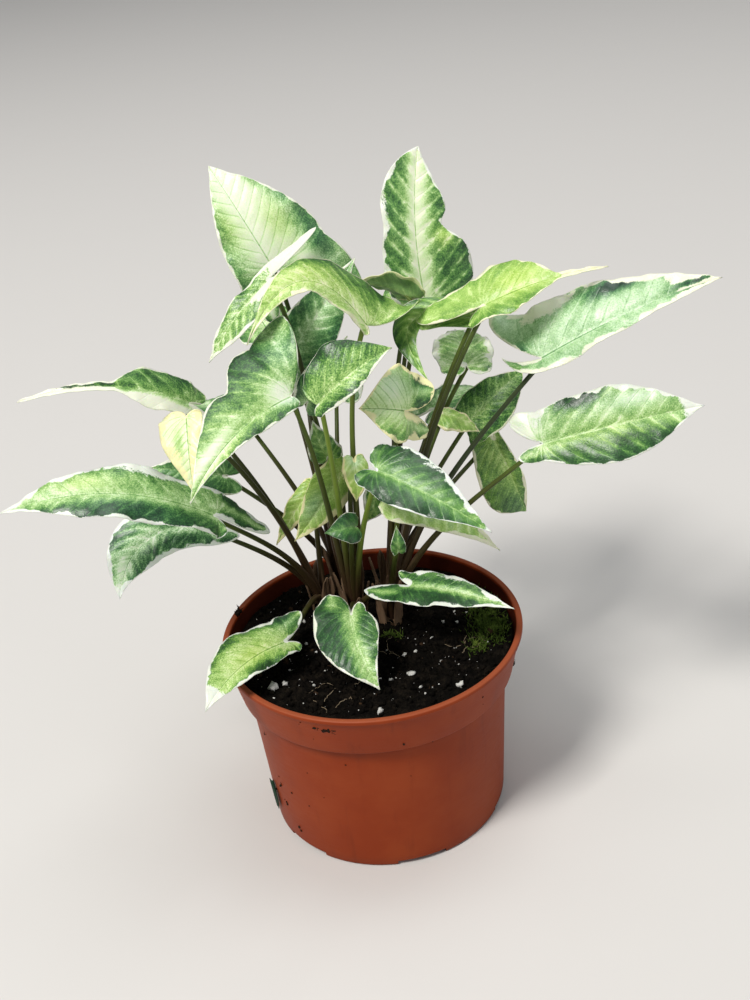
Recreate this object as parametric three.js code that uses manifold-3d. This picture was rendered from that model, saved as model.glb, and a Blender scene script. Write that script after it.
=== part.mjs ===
// A variegated arrowhead plant in its round nursery pot.
//
// Millimetres, +Z up, +Y to the back. The origin is the middle of the pot's flat base.
// The pot holds a fill of potting soil. Six plantlets stand in plain holes in the soil,
// each a short crown whose leaf stalks fan out, and each stalk carries one arrow-shaped blade.

import * as THREE from 'three';
import { mergeVertices } from 'three/addons/utils/BufferGeometryUtils.js';
import Module from 'manifold-3d';

const wasm = await Module();
wasm.setup();

const { degToRad, lerp } = THREE.MathUtils;

// ---------------------------------------------------------------- driving dimensions

const POT = {
  height: 82,
  rimRadius: 60,
  lipThickness: 1.8,
  lipOverhang: 0.9,
  collarDepth: 19.5,
  collarRadius: 55.3,
  collarStep: 0.8,
  ledgeRise: 0.2,
  bodyTopRadius: 52.2,
  baseRadius: 48.4,
  wall: 1.5,
  floor: 3.6,
  footChamfer: 0.8,
  sides: 48,
};

const DRAIN = {
  count: 6,
  firstAngle: 42,
  channelWidth: 20,
  channelHeight: 2.2,
  channelStart: 34,
  slotRadius: 41,
  slotLength: 9,
  slotWidth: 5,
  overrun: 4,
};

const SOIL = {
  clearance: 0.3,
  wallClearance: 0.6,
  edgeHeight: 77,
  lowestEdge: 73.2,
  backFall: 0.045,
  crownMiddle: [-2, 18],
  crownRise: 1,
  crownSpread: 26,
  lumpHeight: 0.7,
  rings: 6,
  sides: 40,
};

const CROWN = {
  radius: 4.4,
  bottom: 60,
  top: 79,
  holeClearance: 0.35,
  sides: 8,
};

const STALK = {
  tipRadius: 1.25,
  baseRadius: 2.3,
  sides: 6,
  steps: 7,
  rootDepth: 3,
  seatGap: 0.32,
  seatStep: 0.6,
  leastRise: 20,
  rise: 0.38,
  approach: 0.3,
  spread: 0.25,
};

const BLADE = {
  thickness: 0.7,
  stations: [0, 0.1, 0.22, 0.36, 0.5, 0.64, 0.78, 0.9],
  lobeStations: [0.9, 0.6, 0.3],
  smallSize: 36,
  smallStations: [0, 0.22, 0.48, 0.78],
  smallLobeStations: [0.85, 0.45],
  spans: [0.5, 1],
  notchSpread: 0.09,
  waveShift: 0.3,
};

// Where each plantlet's crown stands in the soil: x, y.
const PLANTLETS = {
  left: [-19, 25],
  front: [-6, 12.5],
  centre: [-7, 26],
  right: [8, 9.5],
  back_left: [-10, 38.5],
  back_right: [9, 27.5],
};

// ---------------------------------------------------------------- the leaves

// One blade. Lengths are millimetres and angles degrees. Pairs are [left, right], seen on the
// upper face with the tip pointing away.
//   attach  where the stalk meets the blade      tip     the blade's point
//   face    the way the upper face looks         width   half widths
//   lobe    lengths of the two basal lobes       belly   where it is widest, from attach to tip
//   arch    rise of the midrib between its ends  sweep   the same, sideways
//   fold    slope of each half off the midrib    curl    how much further it turns by its edge
//   lift    how far the lobes bend up            twist   turn of the blade from attach to tip
//   point   0 for a blunt tip, 1 for a long one  drip    length and half width of a narrow tip
//   wave    height and number of edge waves      notch   place, depth of a waist on each side
//   base    width at the attachment, as a share  spread  where a lobe's end lies, as a share of it
//   taper   low for straight sides, high for round ones
//   bow     how far the stalk bulges outward     lean    the stalk's last direction, if not plain
const PLAIN_LEAF = {
  lobe: [8, 8], belly: 0.22, arch: 3, sweep: 0, fold: [12, 12], curl: [-20, -20], lift: [0, 0],
  twist: 0, point: 0.45, drip: [0, 0], wave: [0.8, 2.5], notch: [0, 0, 0],
  base: [0.85, 0.85], spread: [0.55, 0.55], taper: [1.7, 1.7], bow: 0.075, lean: null,
};

const LEAVES = [
  { name: 'leaf_upper_left', from: 'back_left', attach: [-21, 35, 223], tip: [-40, 52, 258],
    face: [0.1, -0.9, 0.4], width: [14, 23], lobe: [18, 25], base: [1, 1], belly: 0.1,
    spread: [0.7, 1], taper: [1.9, 1.3], point: 0.3 },
  { name: 'leaf_upper_centre', from: 'back_right', attach: [35, 42, 200], tip: [38, 58, 255],
    face: [0.1, -0.95, 0.3], width: [13, 21], lobe: [10, 12], belly: 0.2, sweep: -3,
    spread: [1, 0.7], taper: [3.5, 1.2], point: 0.1, notch: [0.5, 0.1, 0.36] },
  { name: 'leaf_arching', from: 'front', attach: [11.5, 5.5, 207], tip: [-30, -19, 214],
    face: [0, -0.5, 0.85], width: [7, 17], lobe: [2, 14.5], arch: 14, sweep: 12.5, base: [0.7, 1.1],
    lift: [0, 105], spread: [0.5, 1.16], fold: [8, 10], taper: [1.7, 0.7] },
  { name: 'leaf_left_strip', from: 'centre', attach: [-22, 20, 223], tip: [-47, 9, 198],
    face: [-0.3, -0.6, 0.6], width: [8, 5], lobe: [3, 27], base: [0.7, 1], belly: 0.4,
    spread: [0.5, 0.4] },
  { name: 'leaf_front_left', from: 'front', attach: [-18, -9, 189.5], tip: [-54, -50, 173],
    face: [0, -0.6, 0.8], width: [7, 25.5], lobe: [0.5, 19.5], base: [0.7, 1], belly: 0.1,
    spread: [0.5, 1], sweep: 4, taper: [1.7, 0.9], lift: [0, 58] },
  { name: 'leaf_front_oval', from: 'front', attach: [-9, -20, 190], tip: [19, -13, 205],
    face: [-0.2, -0.8, 0.6], width: [14, 6.5], lobe: [1, 3], base: [0.6, 0.7], belly: 0.42,
    arch: 5, taper: [1.7, 1.2] },
  { name: 'leaf_left_long', from: 'left', attach: [-57, 14, 181], tip: [-116, 0, 195],
    face: [0, -0.5, 0.85], width: [8, 10], arch: 10, drip: [0.5, 3] },
  { name: 'leaf_left_hanging', from: 'left', attach: [-57, -2, 183], tip: [-57, -18, 160],
    face: [0, -0.9, 0.4], width: [6, 12], lobe: [2, 4], belly: 0.1, base: [1, 1],
    fold: [20, -15] },
  { name: 'leaf_low_left', from: 'left', attach: [-53, -5, 143], tip: [-128, -15, 159],
    face: [0, -0.5, 0.85], width: [11, 12], lobe: [5, 29], belly: 0.45, arch: 15,
    wave: [1.8, 2.5], spread: [0.5, 0.3] },
  { name: 'leaf_low_left_hanging', from: 'left', attach: [-63, 16, 128], tip: [-96, 0, 108],
    face: [-0.2, -0.8, 0.5], width: [9, 12], sweep: 9, lobe: [16, 8], belly: 0.5 },
  { name: 'leaf_back_left', from: 'back_left', attach: [-52, 36, 138], tip: [-81, 35, 146],
    face: [0, -0.8, 0.5], width: [9, 9] },
  { name: 'leaf_upper_right', from: 'right', attach: [54, 12, 207], tip: [99, 10, 217],
    face: [0, -0.4, 0.9], width: [15, 9], lobe: [26, 8], lift: [0, -30], drip: [0.35, 2.5] },
  { name: 'leaf_hooked', from: 'right', attach: [51, 20, 200], tip: [32, 8, 181],
    face: [-0.2, -0.6, 0.8], width: [6, 7], lobe: [3, 3], sweep: 19, base: [0.8, 0.8],
    taper: [2.5, 2.5] },
  { name: 'leaf_right_pale', from: 'right', attach: [73, 5, 187], tip: [137, 0, 212],
    face: [-0.3, -0.6, 0.8], width: [20, 7], lobe: [14, 17], base: [1, 0.9], belly: 0.1,
    spread: [1.15, -0.2], point: 0, wave: [1.2, 3], arch: 4, lift: [0, 100] },
  { name: 'leaf_right_under', from: 'back_right', attach: [48, 34, 175], tip: [48, 78, 172],
    face: [0, 0.2, 1], width: [12, 12] },
  { name: 'leaf_right_middle', from: 'right', attach: [71, -2, 156], tip: [129, -10, 168],
    face: [-0.1, -0.8, 0.6], width: [15, 14], lobe: [11, 10], base: [0.8, 0.5], belly: 0.45,
    spread: [0.9, 0.5], lift: [-20, 0] },
  { name: 'leaf_right_down', from: 'back_right', attach: [58, 42, 138], tip: [70, 44, 101],
    face: [0, -0.9, 0.3], width: [5, 14], base: [0.6, 0.7], belly: 0.5, taper: [1.7, 4] },
  { name: 'leaf_right_back', from: 'back_right', attach: [48, 38, 149], tip: [74, 60, 159],
    face: [0.1, -0.7, 0.7], width: [9, 12], lobe: [5, 5] },
  { name: 'leaf_right_small', from: 'right', attach: [37, 29, 158], tip: [51, 27, 149],
    face: [0, -0.6, 0.8], width: [3, 7], lobe: [2, 3] },
  { name: 'leaf_curled', from: 'right', attach: [22, -8, 178], tip: [5, -14, 184],
    face: [0, -0.8, 0.5], width: [12, 17], lobe: [14, 12], lift: [0, 60] },
  { name: 'leaf_front_right', from: 'front', attach: [9, -22, 163], tip: [46, -45, 146],
    face: [0, -0.6, 0.8], width: [13, 10], lobe: [6, 6], taper: [1.3, 1.7] },
  { name: 'leaf_under_right', from: 'right', attach: [19, -5, 148], tip: [50, -30, 129],
    face: [0, -0.5, 0.85], width: [6, 17], lobe: [2, 2], base: [0.9, 0.9], belly: 0.1,
    taper: [1.7, 1.2] },
  { name: 'leaf_front_yellow', from: 'centre', attach: [-4, 15, 145], tip: [-26, 10, 119],
    face: [0, -1, 0.1], width: [8, 9], lobe: [6, 5] },
  { name: 'leaf_inner_yellow', from: 'front', attach: [1, 4, 155], tip: [0, 0, 139],
    face: [0.2, -0.9, 0.3], width: [5, 5], lobe: [2, 2] },
  { name: 'leaf_inner_upper', from: 'centre', attach: [-9, 14, 152], tip: [-13, 15, 168],
    face: [-0.1, -0.9, 0.2], width: [6, 7], lobe: [2, 2], lean: [0, -0.9, 0.45] },
  { name: 'leaf_inner_dark', from: 'front', attach: [-1, -8, 133], tip: [-13, -12, 134],
    face: [0, -0.8, 0.5], width: [6, 6], lobe: [2, 2] },
  { name: 'leaf_inner_green', from: 'centre', attach: [8, 22, 131], tip: [3, 19, 119],
    face: [0.2, -0.9, 0.3], width: [6, 5], lobe: [2, 2] },
  { name: 'leaf_inner_young', from: 'right', attach: [14, -3, 117], tip: [14, 0, 127],
    face: [0, -0.9, 0.3], width: [3, 3], lobe: [2, 2] },
  { name: 'leaf_behind_yellow', from: 'left', attach: [-17, 34, 130], tip: [-35, 29, 107],
    face: [-0.3, -0.8, 0.4], width: [5, 5], lobe: [2, 2] },
  { name: 'leaf_shaded', from: 'centre', attach: [-20, 30, 187], tip: [10, 37, 222],
    face: [0, -0.9, 0.3], width: [10, 12], lobe: [6, 10] },
  { name: 'leaf_behind_oval', from: 'centre', attach: [-14, 14, 176], tip: [4, 20, 198],
    face: [0, -0.8, 0.5], width: [7, 7], lobe: [4, 4] },
  { name: 'leaf_behind_centre', from: 'back_right', attach: [30, 33, 205], tip: [8, 30, 214],
    face: [0, 0.8, 0.6], width: [9, 4], lobe: [3, 2] },
  { name: 'leaf_low_right', from: 'front', attach: [16, -10, 106], tip: [54, -30, 103],
    face: [0, -0.4, 0.9], width: [7, 9], lobe: [6, 18], base: [0.8, 1], spread: [0.9, 0.45] },
  { name: 'leaf_low_front', from: 'front', attach: [-6.8, -17.5, 100.7], tip: [1.1, -43.3, 83],
    face: [0, -0.7, 0.7], width: [9.5, 15], lobe: [5, 10], base: [0.6, 0.95], spread: [0.6, 0.5],
    sweep: 2 },
  { name: 'leaf_over_rim', from: 'left', attach: [-33, -14, 89], tip: [-63, -50, 87],
    face: [0, -0.4, 0.9], width: [8, 14], sweep: 3, lobe: [4, 15],
    belly: 0.35, spread: [0.5, 0.95], lift: [0, 15] },
  { name: 'leaf_rear_upper_left', from: 'back_left', attach: [-28, 60, 189], tip: [-36, 98, 174],
    face: [-0.2, 0.3, 0.9], width: [14, 13], lobe: [10, 11], arch: 6 },
  { name: 'leaf_rear_upper_right', from: 'back_right', attach: [32, 72, 192], tip: [44, 108, 186],
    face: [0.2, 0.2, 0.9], width: [14, 14], lobe: [11, 10], arch: 6 },
  { name: 'leaf_rear_left', from: 'back_left', attach: [-44, 68, 150], tip: [-78, 92, 140],
    face: [-0.2, 0.3, 0.9], width: [13, 13], lobe: [10, 10], arch: 5 },
  { name: 'leaf_rear', from: 'back_left', attach: [-4, 80, 152], tip: [-2, 122, 146],
    face: [0, 0.3, 0.9], width: [15, 14], lobe: [11, 12], arch: 6 },
  { name: 'leaf_rear_right', from: 'back_right', attach: [36, 76, 138], tip: [66, 102, 130],
    face: [0.2, 0.3, 0.9], width: [13, 13], lobe: [9, 10], arch: 5 },
].map((leaf) => ({ ...PLAIN_LEAF, ...leaf }));

// ---------------------------------------------------------------- materials

function finish(color, roughness) {
  return new THREE.MeshStandardMaterial({ color, roughness, metalness: 0, side: THREE.FrontSide });
}

const FINISH = {
  pot: () => finish('#8d4326', 0.5),
  soil: () => finish('#1c1511', 0.95),
  stalk: () => finish('#5a5a2c', 0.45),
  leaf: () => finish('#8fc07a', 0.4),
};

// ---------------------------------------------------------------- solids

// A closed three.js geometry as a manifold solid.
function toSolid(geometry) {
  const bare = geometry.index ? geometry.clone() : geometry;
  bare.deleteAttribute('normal');
  bare.deleteAttribute('uv');
  const welded = mergeVertices(bare, 1e-4);
  return new wasm.Manifold(new wasm.Mesh({
    numProp: 3,
    vertProperties: new Float32Array(welded.attributes.position.array),
    triVerts: new Uint32Array(welded.index.array),
  }));
}

// A manifold solid back as a three.js geometry.
function toGeometry(solid) {
  const { vertProperties, triVerts } = solid.getMesh();
  const geometry = new THREE.BufferGeometry();
  geometry.setAttribute('position', new THREE.BufferAttribute(vertProperties, 3));
  geometry.setIndex(new THREE.BufferAttribute(triVerts, 1));
  geometry.computeVertexNormals();
  return geometry;
}

function geometryFrom(points, triangles) {
  const geometry = new THREE.BufferGeometry();
  const numbers = points.flatMap((p) => p.toArray());
  geometry.setAttribute('position', new THREE.Float32BufferAttribute(numbers, 3));
  geometry.setIndex(triangles.flat());
  geometry.computeVertexNormals();
  return geometry;
}

function piece(name, geometry, material) {
  const mesh = new THREE.Mesh(geometry, material);
  mesh.name = name;
  return mesh;
}

// ---------------------------------------------------------------- pot

// A lathe turned about Z from [radius, z] pairs, listed from the axis at the bottom round to it.
function turned(profile, sides) {
  const lathe = new THREE.LatheGeometry(profile.map(([r, z]) => new THREE.Vector2(r, z)), sides);
  return lathe.rotateX(Math.PI / 2);
}

const COLLAR_FOOT = POT.height - POT.collarDepth;
const INNER_LEDGE = COLLAR_FOOT + POT.collarStep + POT.wall;
const LEDGE_TOP = INNER_LEDGE + POT.ledgeRise;

// The inside of the wall: it steps out over a ledge where the collar begins.
function potInnerRadius(z) {
  if (z <= INNER_LEDGE) return lerp(POT.baseRadius, POT.bodyTopRadius, z / COLLAR_FOOT) - POT.wall;
  const above = (z - COLLAR_FOOT) / POT.collarDepth;
  return lerp(POT.collarRadius, POT.rimRadius - POT.lipOverhang, above) - POT.wall;
}

function potProfile() {
  const rimWall = POT.rimRadius - POT.lipOverhang;
  return [
    [0, 0],
    [POT.baseRadius - POT.footChamfer, 0],
    [POT.baseRadius, POT.footChamfer],
    [POT.bodyTopRadius, COLLAR_FOOT],
    [POT.collarRadius, COLLAR_FOOT + POT.collarStep],
    [rimWall, POT.height - POT.lipThickness],
    [POT.rimRadius, POT.height - POT.lipThickness],
    [POT.rimRadius, POT.height],
    [potInnerRadius(POT.height), POT.height],
    [potInnerRadius(LEDGE_TOP), LEDGE_TOP],
    [potInnerRadius(INNER_LEDGE), INNER_LEDGE],
    [potInnerRadius(POT.floor), POT.floor],
    [0, POT.floor],
  ];
}

// The drain channels under the foot ring, and a slot through the floor over each of them.
function drainCuts() {
  const channelLength = POT.baseRadius - DRAIN.channelStart + DRAIN.overrun;
  const cuts = [];
  for (let i = 0; i < DRAIN.count; i += 1) {
    const angle = degToRad(DRAIN.firstAngle + (360 / DRAIN.count) * i);
    const channel = new THREE.BoxGeometry(channelLength, DRAIN.channelWidth, 2 * DRAIN.channelHeight);
    channel.translate(DRAIN.channelStart + channelLength / 2, 0, 0);
    const slot = new THREE.BoxGeometry(DRAIN.slotWidth, DRAIN.slotLength, 3 * POT.floor);
    slot.translate(DRAIN.slotRadius, 0, POT.floor / 2);
    cuts.push(toSolid(channel.rotateZ(angle)), toSolid(slot.rotateZ(angle)));
  }
  return cuts;
}

function pot() {
  const blank = toSolid(turned(potProfile(), POT.sides));
  const shell = drainCuts().reduce((body, cut) => body.subtract(cut), blank);
  return piece('pot', toGeometry(shell), FINISH.pot());
}

// ---------------------------------------------------------------- soil

// The height of the soil's surface: it falls to the back, rises round the stems and is lumpy.
function soilHeight(x, y) {
  const fromPlant = Math.hypot(x - SOIL.crownMiddle[0], y - SOIL.crownMiddle[1]);
  const rise = SOIL.crownRise * Math.exp(-((fromPlant / SOIL.crownSpread) ** 2));
  const lumps = Math.sin(0.21 * x + 1.3) * Math.cos(0.17 * y) + 0.6 * Math.sin(0.43 * y - 0.29 * x);
  return SOIL.edgeHeight - SOIL.backFall * y + rise + SOIL.lumpHeight * lumps;
}

function soilBody() {
  const bottom = POT.floor + SOIL.clearance;
  const ledge = LEDGE_TOP + SOIL.clearance;
  const topRadius = potInnerRadius(SOIL.lowestEdge) - SOIL.wallClearance;
  const profile = [
    [0, bottom],
    [potInnerRadius(bottom) - SOIL.wallClearance, bottom],
    [potInnerRadius(INNER_LEDGE) - SOIL.wallClearance, ledge],
    [potInnerRadius(ledge) - SOIL.wallClearance, ledge],
  ];
  for (let ring = SOIL.rings; ring >= 0; ring -= 1) {
    profile.push([(topRadius * ring) / SOIL.rings, SOIL.edgeHeight]);
  }
  const geometry = turned(profile, SOIL.sides);
  const { position } = geometry.attributes;
  for (let i = 0; i < position.count; i += 1) {
    const onTop = position.getZ(i) > SOIL.edgeHeight - 1;
    if (onTop) position.setZ(i, soilHeight(position.getX(i), position.getY(i)));
  }
  return toSolid(geometry);
}

function crownPlug(x, y, grow, bottom, top) {
  const radius = CROWN.radius + grow;
  const profile = [[0, bottom], [radius, bottom], [radius, top], [0, top]];
  return toSolid(turned(profile, CROWN.sides).translate(x, y, 0));
}

function soil() {
  const holes = Object.values(PLANTLETS).map(([x, y]) => (
    crownPlug(x, y, CROWN.holeClearance, CROWN.bottom - CROWN.holeClearance, POT.height)));
  const body = holes.reduce((fill, hole) => fill.subtract(hole), soilBody());
  return piece('soil', toGeometry(body), FINISH.soil());
}

// ---------------------------------------------------------------- blades

const vector = (xyz) => new THREE.Vector3(...xyz);

// The blade's own axes: along the midrib, up off its face, and across to its right.
function bladeAxes(leaf) {
  const base = vector(leaf.attach);
  const along = vector(leaf.tip).sub(base);
  const length = along.length();
  along.normalize();
  const up = vector(leaf.face);
  up.addScaledVector(along, -up.dot(along)).normalize();
  return { base, along, up, across: new THREE.Vector3().crossVectors(along, up), length };
}

// The midrib's place and directions, t of the way from the attachment to the tip.
function midribFrame(leaf, t) {
  const { base, along, up, across, length } = bladeAxes(leaf);
  const bulge = 4 * t * (1 - t);
  const slope = 4 * (1 - 2 * t);
  const point = base.clone().addScaledVector(along, length * t)
    .addScaledVector(up, leaf.arch * bulge).addScaledVector(across, leaf.sweep * bulge);
  const tangent = along.clone().multiplyScalar(length).addScaledVector(up, leaf.arch * slope)
    .addScaledVector(across, leaf.sweep * slope).normalize();
  const normal = up.clone().addScaledVector(tangent, -up.dot(tangent)).normalize();
  normal.applyAxisAngle(tangent, degToRad(leaf.twist) * t);
  return { point, tangent, normal, across: new THREE.Vector3().crossVectors(tangent, normal) };
}

// The same for a basal lobe, v of the way from the attachment to its end.
function lobeFrame(leaf, side, v) {
  const root = midribFrame(leaf, 0);
  const bend = degToRad(leaf.lift[side]) || 1e-6;
  const length = leaf.lobe[side];
  const point = root.point.clone().addScaledVector(root.tangent, (-length * Math.sin(bend * v)) / bend)
    .addScaledVector(root.normal, (length * (1 - Math.cos(bend * v))) / bend);
  const normal = root.normal.clone().applyAxisAngle(root.across, -bend * v);
  return { point, normal, across: root.across };
}

// The half width of the blade ahead of its attachment.
function halfWidth(leaf, side, t) {
  const full = leaf.width[side];
  const [notchPlace, ...notchDepths] = leaf.notch;
  const waist = 1 - notchDepths[side] * Math.exp(-(((t - notchPlace) / BLADE.notchSpread) ** 2));
  if (t < leaf.belly) {
    const rise = Math.sin((Math.PI / 2) * (t / leaf.belly));
    return full * waist * lerp(leaf.base[side], 1, rise);
  }
  const [dripLength, dripWidth] = leaf.drip;
  const u = (t - leaf.belly) / (1 - leaf.belly - dripLength);
  const body = u < 1 ? full * waist * (1 - u ** leaf.taper[side]) * (1 - leaf.point * u ** 3) : 0;
  const drip = dripWidth * Math.sqrt(Math.max(0, 1 - t));
  return Math.cbrt(body ** 3 + drip ** 3);
}

// The inner and outer edge of a basal lobe, as distances from the midrib's line.
function lobeEdges(leaf, side, v) {
  const root = leaf.width[side] * leaf.base[side];
  const middle = lerp(root / 2, root * leaf.spread[side], v);
  const half = (root / 2) * Math.sqrt(Math.max(0, 1 - v * v));
  return [middle - half, middle + half];
}

// A point on a half blade, a given distance across from the midrib.
function acrossPoint(leaf, side, frame, distance, ripple) {
  const full = leaf.width[side];
  const fold = degToRad(leaf.fold[side]);
  const curl = degToRad(leaf.curl[side]) || 1e-6;
  const turn = fold + (curl * distance) / full;
  const out = ((Math.sin(turn) - Math.sin(fold)) * full) / curl;
  const rise = ((Math.cos(fold) - Math.cos(turn)) * full) / curl;
  const hand = side === 0 ? -1 : 1;
  return frame.point.clone().addScaledVector(frame.across, hand * out)
    .addScaledVector(frame.normal, rise + ripple * (distance / full) ** 2);
}

function edgeWave(leaf, side, t) {
  const [height, count] = leaf.wave;
  return height * Math.sin(2 * Math.PI * (count * t + BLADE.waveShift * side));
}

// Where the rows of points lie along a blade and along its lobes: fewer on a small leaf.
function bladeRows(leaf) {
  const size = bladeAxes(leaf).length + Math.max(...leaf.lobe) + Math.max(...leaf.width);
  if (size < BLADE.smallSize) return [BLADE.smallStations, BLADE.smallLobeStations];
  return [BLADE.stations, BLADE.lobeStations];
}

// The two thin sheets of a blade, the lower a copy of the upper, joined round the edge.
function bladeGeometry(leaf) {
  const [stations, lobeStations] = bladeRows(leaf);
  const top = [];
  const triangles = [];
  const add = (p) => top.push(p) - 1;
  const midrib = stations.map((t) => add(midribFrame(leaf, t).point));
  const tip = add(midribFrame(leaf, 1).point);
  const rim = [];

  for (const side of [0, 1]) {
    const lobeTip = lobeEdges(leaf, side, 1)[0];
    const lobeEnd = add(acrossPoint(leaf, side, lobeFrame(leaf, side, 1), lobeTip, 0));
    const rows = lobeStations.map((v) => {
      const [inner, outer] = lobeEdges(leaf, side, v);
      const frame = lobeFrame(leaf, side, v);
      const wave = edgeWave(leaf, side, -BLADE.waveShift * v);
      return [0, ...BLADE.spans].map((s) => (
        add(acrossPoint(leaf, side, frame, inner + (outer - inner) * s, wave))));
    });
    stations.forEach((t, i) => {
      const frame = midribFrame(leaf, t);
      const wide = halfWidth(leaf, side, t);
      const wave = edgeWave(leaf, side, t);
      const outer = BLADE.spans.map((s) => add(acrossPoint(leaf, side, frame, wide * s, wave)));
      rows.push([midrib[i], ...outer]);
    });

    const sheet = [];
    const last = BLADE.spans.length;
    for (let j = 0; j < last; j += 1) sheet.push([lobeEnd, rows[0][j], rows[0][j + 1]]);
    for (let i = 0; i + 1 < rows.length; i += 1) {
      for (let j = 0; j < last; j += 1) {
        const [a, b, c, d] = [rows[i][j], rows[i + 1][j], rows[i + 1][j + 1], rows[i][j + 1]];
        sheet.push([a, b, c], [a, c, d]);
      }
    }
    const end = rows[rows.length - 1];
    for (let j = 0; j < last; j += 1) sheet.push([end[j], tip, end[j + 1]]);
    const inside = rows.slice(0, lobeStations.length + 1).map((row) => row[0]).reverse();
    const outside = rows.map((row) => row[last]);
    const edge = [...inside, lobeEnd, ...outside, tip];
    if (side === 0) {
      triangles.push(...sheet);
      rim.push(...edge.slice(0, -1));
    } else {
      triangles.push(...sheet.map(([a, b, c]) => [a, c, b]));
      rim.push(...edge.slice(1).reverse());
    }
  }
  return thickened(top, triangles, rim);
}

// Gives a sheet its thickness: the rim lists the edge once round.
function thickened(top, triangles, rim) {
  const sheet = geometryFrom(top, triangles);
  const { normal } = sheet.attributes;
  const bottom = top.map((p, i) => (
    p.clone().addScaledVector(new THREE.Vector3().fromBufferAttribute(normal, i), -BLADE.thickness)));
  const count = top.length;
  const under = triangles.map(([a, b, c]) => [a + count, c + count, b + count]);
  const walls = rim.flatMap((a, i) => {
    const b = rim[(i + 1) % rim.length];
    return [[a, b, b + count], [a, b + count, a + count]];
  });
  return geometryFrom([...top, ...bottom], [...triangles, ...under, ...walls]);
}

// ---------------------------------------------------------------- stalks

// A tapered tube with flat ends along a curve.
function taperedTube(curve, radii, sides) {
  const steps = radii.length - 1;
  const { normals, binormals } = curve.computeFrenetFrames(steps, false);
  const points = [];
  radii.forEach((radius, i) => {
    const centre = curve.getPointAt(i / steps);
    for (let k = 0; k < sides; k += 1) {
      const angle = (2 * Math.PI * k) / sides;
      points.push(centre.clone().addScaledVector(normals[i], radius * Math.cos(angle))
        .addScaledVector(binormals[i], radius * Math.sin(angle)));
    }
  });
  const triangles = [];
  for (let i = 0; i < steps; i += 1) {
    for (let k = 0; k < sides; k += 1) {
      const [a, b] = [i * sides + k, i * sides + ((k + 1) % sides)];
      triangles.push([a, b, b + sides], [a, b + sides, a + sides]);
    }
  }
  for (let k = 1; k + 1 < sides; k += 1) {
    const end = steps * sides;
    triangles.push([0, k + 1, k], [end, end + k, end + k + 1]);
  }
  return geometryFrom(points, triangles);
}

// The curve of a leaf's stalk, from inside its crown to just under the blade's attachment.
function stalkCurve(leaf) {
  const [x, y] = PLANTLETS[leaf.from];
  const { point, tangent, normal } = midribFrame(leaf, 0);
  const root = new THREE.Vector3(x, y, CROWN.top - STALK.rootDepth);
  const reach = point.clone().sub(root);
  const outward = new THREE.Vector3(reach.x, reach.y, 0).normalize();
  const lean = leaf.lean ? vector(leaf.lean) : reach.clone().normalize()
    .addScaledVector(outward, STALK.spread);
  lean.normalize();
  const side = STALK.tipRadius * Math.sqrt(Math.max(0, 1 - lean.dot(normal) ** 2));
  const droop = STALK.tipRadius * Math.tan(degToRad(Math.max(0, -Math.min(...leaf.fold))));
  const seat = point.clone().addScaledVector(normal, -(BLADE.thickness + STALK.seatGap + side + droop))
    .addScaledVector(tangent, STALK.seatStep);
  const span = reach.length();
  const rise = Math.max(STALK.rise * span, STALK.leastRise);
  const lower = root.clone().add(new THREE.Vector3(0, 0, rise))
    .addScaledVector(outward, leaf.bow * span);
  const upper = seat.clone().addScaledVector(lean, -STALK.approach * span);
  return new THREE.CubicBezierCurve3(root, lower, upper, seat);
}

function stalkSolid(leaf) {
  const radii = Array.from({ length: STALK.steps + 1 }, (_, i) => (
    lerp(STALK.tipRadius, STALK.baseRadius, (1 - i / STALK.steps) ** 2)));
  return toSolid(taperedTube(stalkCurve(leaf), radii, STALK.sides));
}

function plantlet(name) {
  const [x, y] = PLANTLETS[name];
  const crown = crownPlug(x, y, 0, CROWN.bottom, CROWN.top);
  const stalks = LEAVES.filter((leaf) => leaf.from === name).map(stalkSolid);
  const body = stalks.reduce((joined, stalk) => joined.add(stalk), crown);
  return piece(`stems_${name}`, toGeometry(body), FINISH.stalk());
}

// ---------------------------------------------------------------- the plant in its pot

const plant = new THREE.Group();
plant.name = 'arrowhead_plant';
plant.add(pot(), soil());
plant.add(...Object.keys(PLANTLETS).map(plantlet));
plant.add(...LEAVES.map((leaf) => piece(leaf.name, bladeGeometry(leaf), FINISH.leaf())));

export default plant;
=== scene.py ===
"""The looks of a variegated arrowhead plant in its round nursery pot.

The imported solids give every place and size. Each class below holds one sub-assembly: the blades,
the stalks of each plantlet, the soil with what lies on it, the pot and the studio. Lengths are
millimetres in the tables and metres in the meshes.
"""

import logging
import math
from dataclasses import dataclass, field
from enum import Enum
from typing import NamedTuple, Sequence

import bmesh
import bpy
import numpy as np
from mathutils import Matrix, Vector, noise


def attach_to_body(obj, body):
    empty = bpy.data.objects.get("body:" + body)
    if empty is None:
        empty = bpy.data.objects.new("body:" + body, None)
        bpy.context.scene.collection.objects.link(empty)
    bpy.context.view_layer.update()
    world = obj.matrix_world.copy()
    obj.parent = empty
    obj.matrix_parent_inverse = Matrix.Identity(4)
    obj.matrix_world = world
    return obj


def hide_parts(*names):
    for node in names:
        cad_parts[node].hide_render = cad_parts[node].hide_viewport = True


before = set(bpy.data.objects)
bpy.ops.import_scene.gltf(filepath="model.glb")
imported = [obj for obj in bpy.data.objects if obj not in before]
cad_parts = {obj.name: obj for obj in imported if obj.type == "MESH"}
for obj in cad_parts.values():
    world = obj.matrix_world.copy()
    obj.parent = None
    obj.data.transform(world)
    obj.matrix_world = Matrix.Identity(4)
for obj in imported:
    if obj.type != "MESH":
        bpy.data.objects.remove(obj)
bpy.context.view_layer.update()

LOG = logging.getLogger("arrowhead_plant")

MM = 0.001
BODY = "root"

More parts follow.
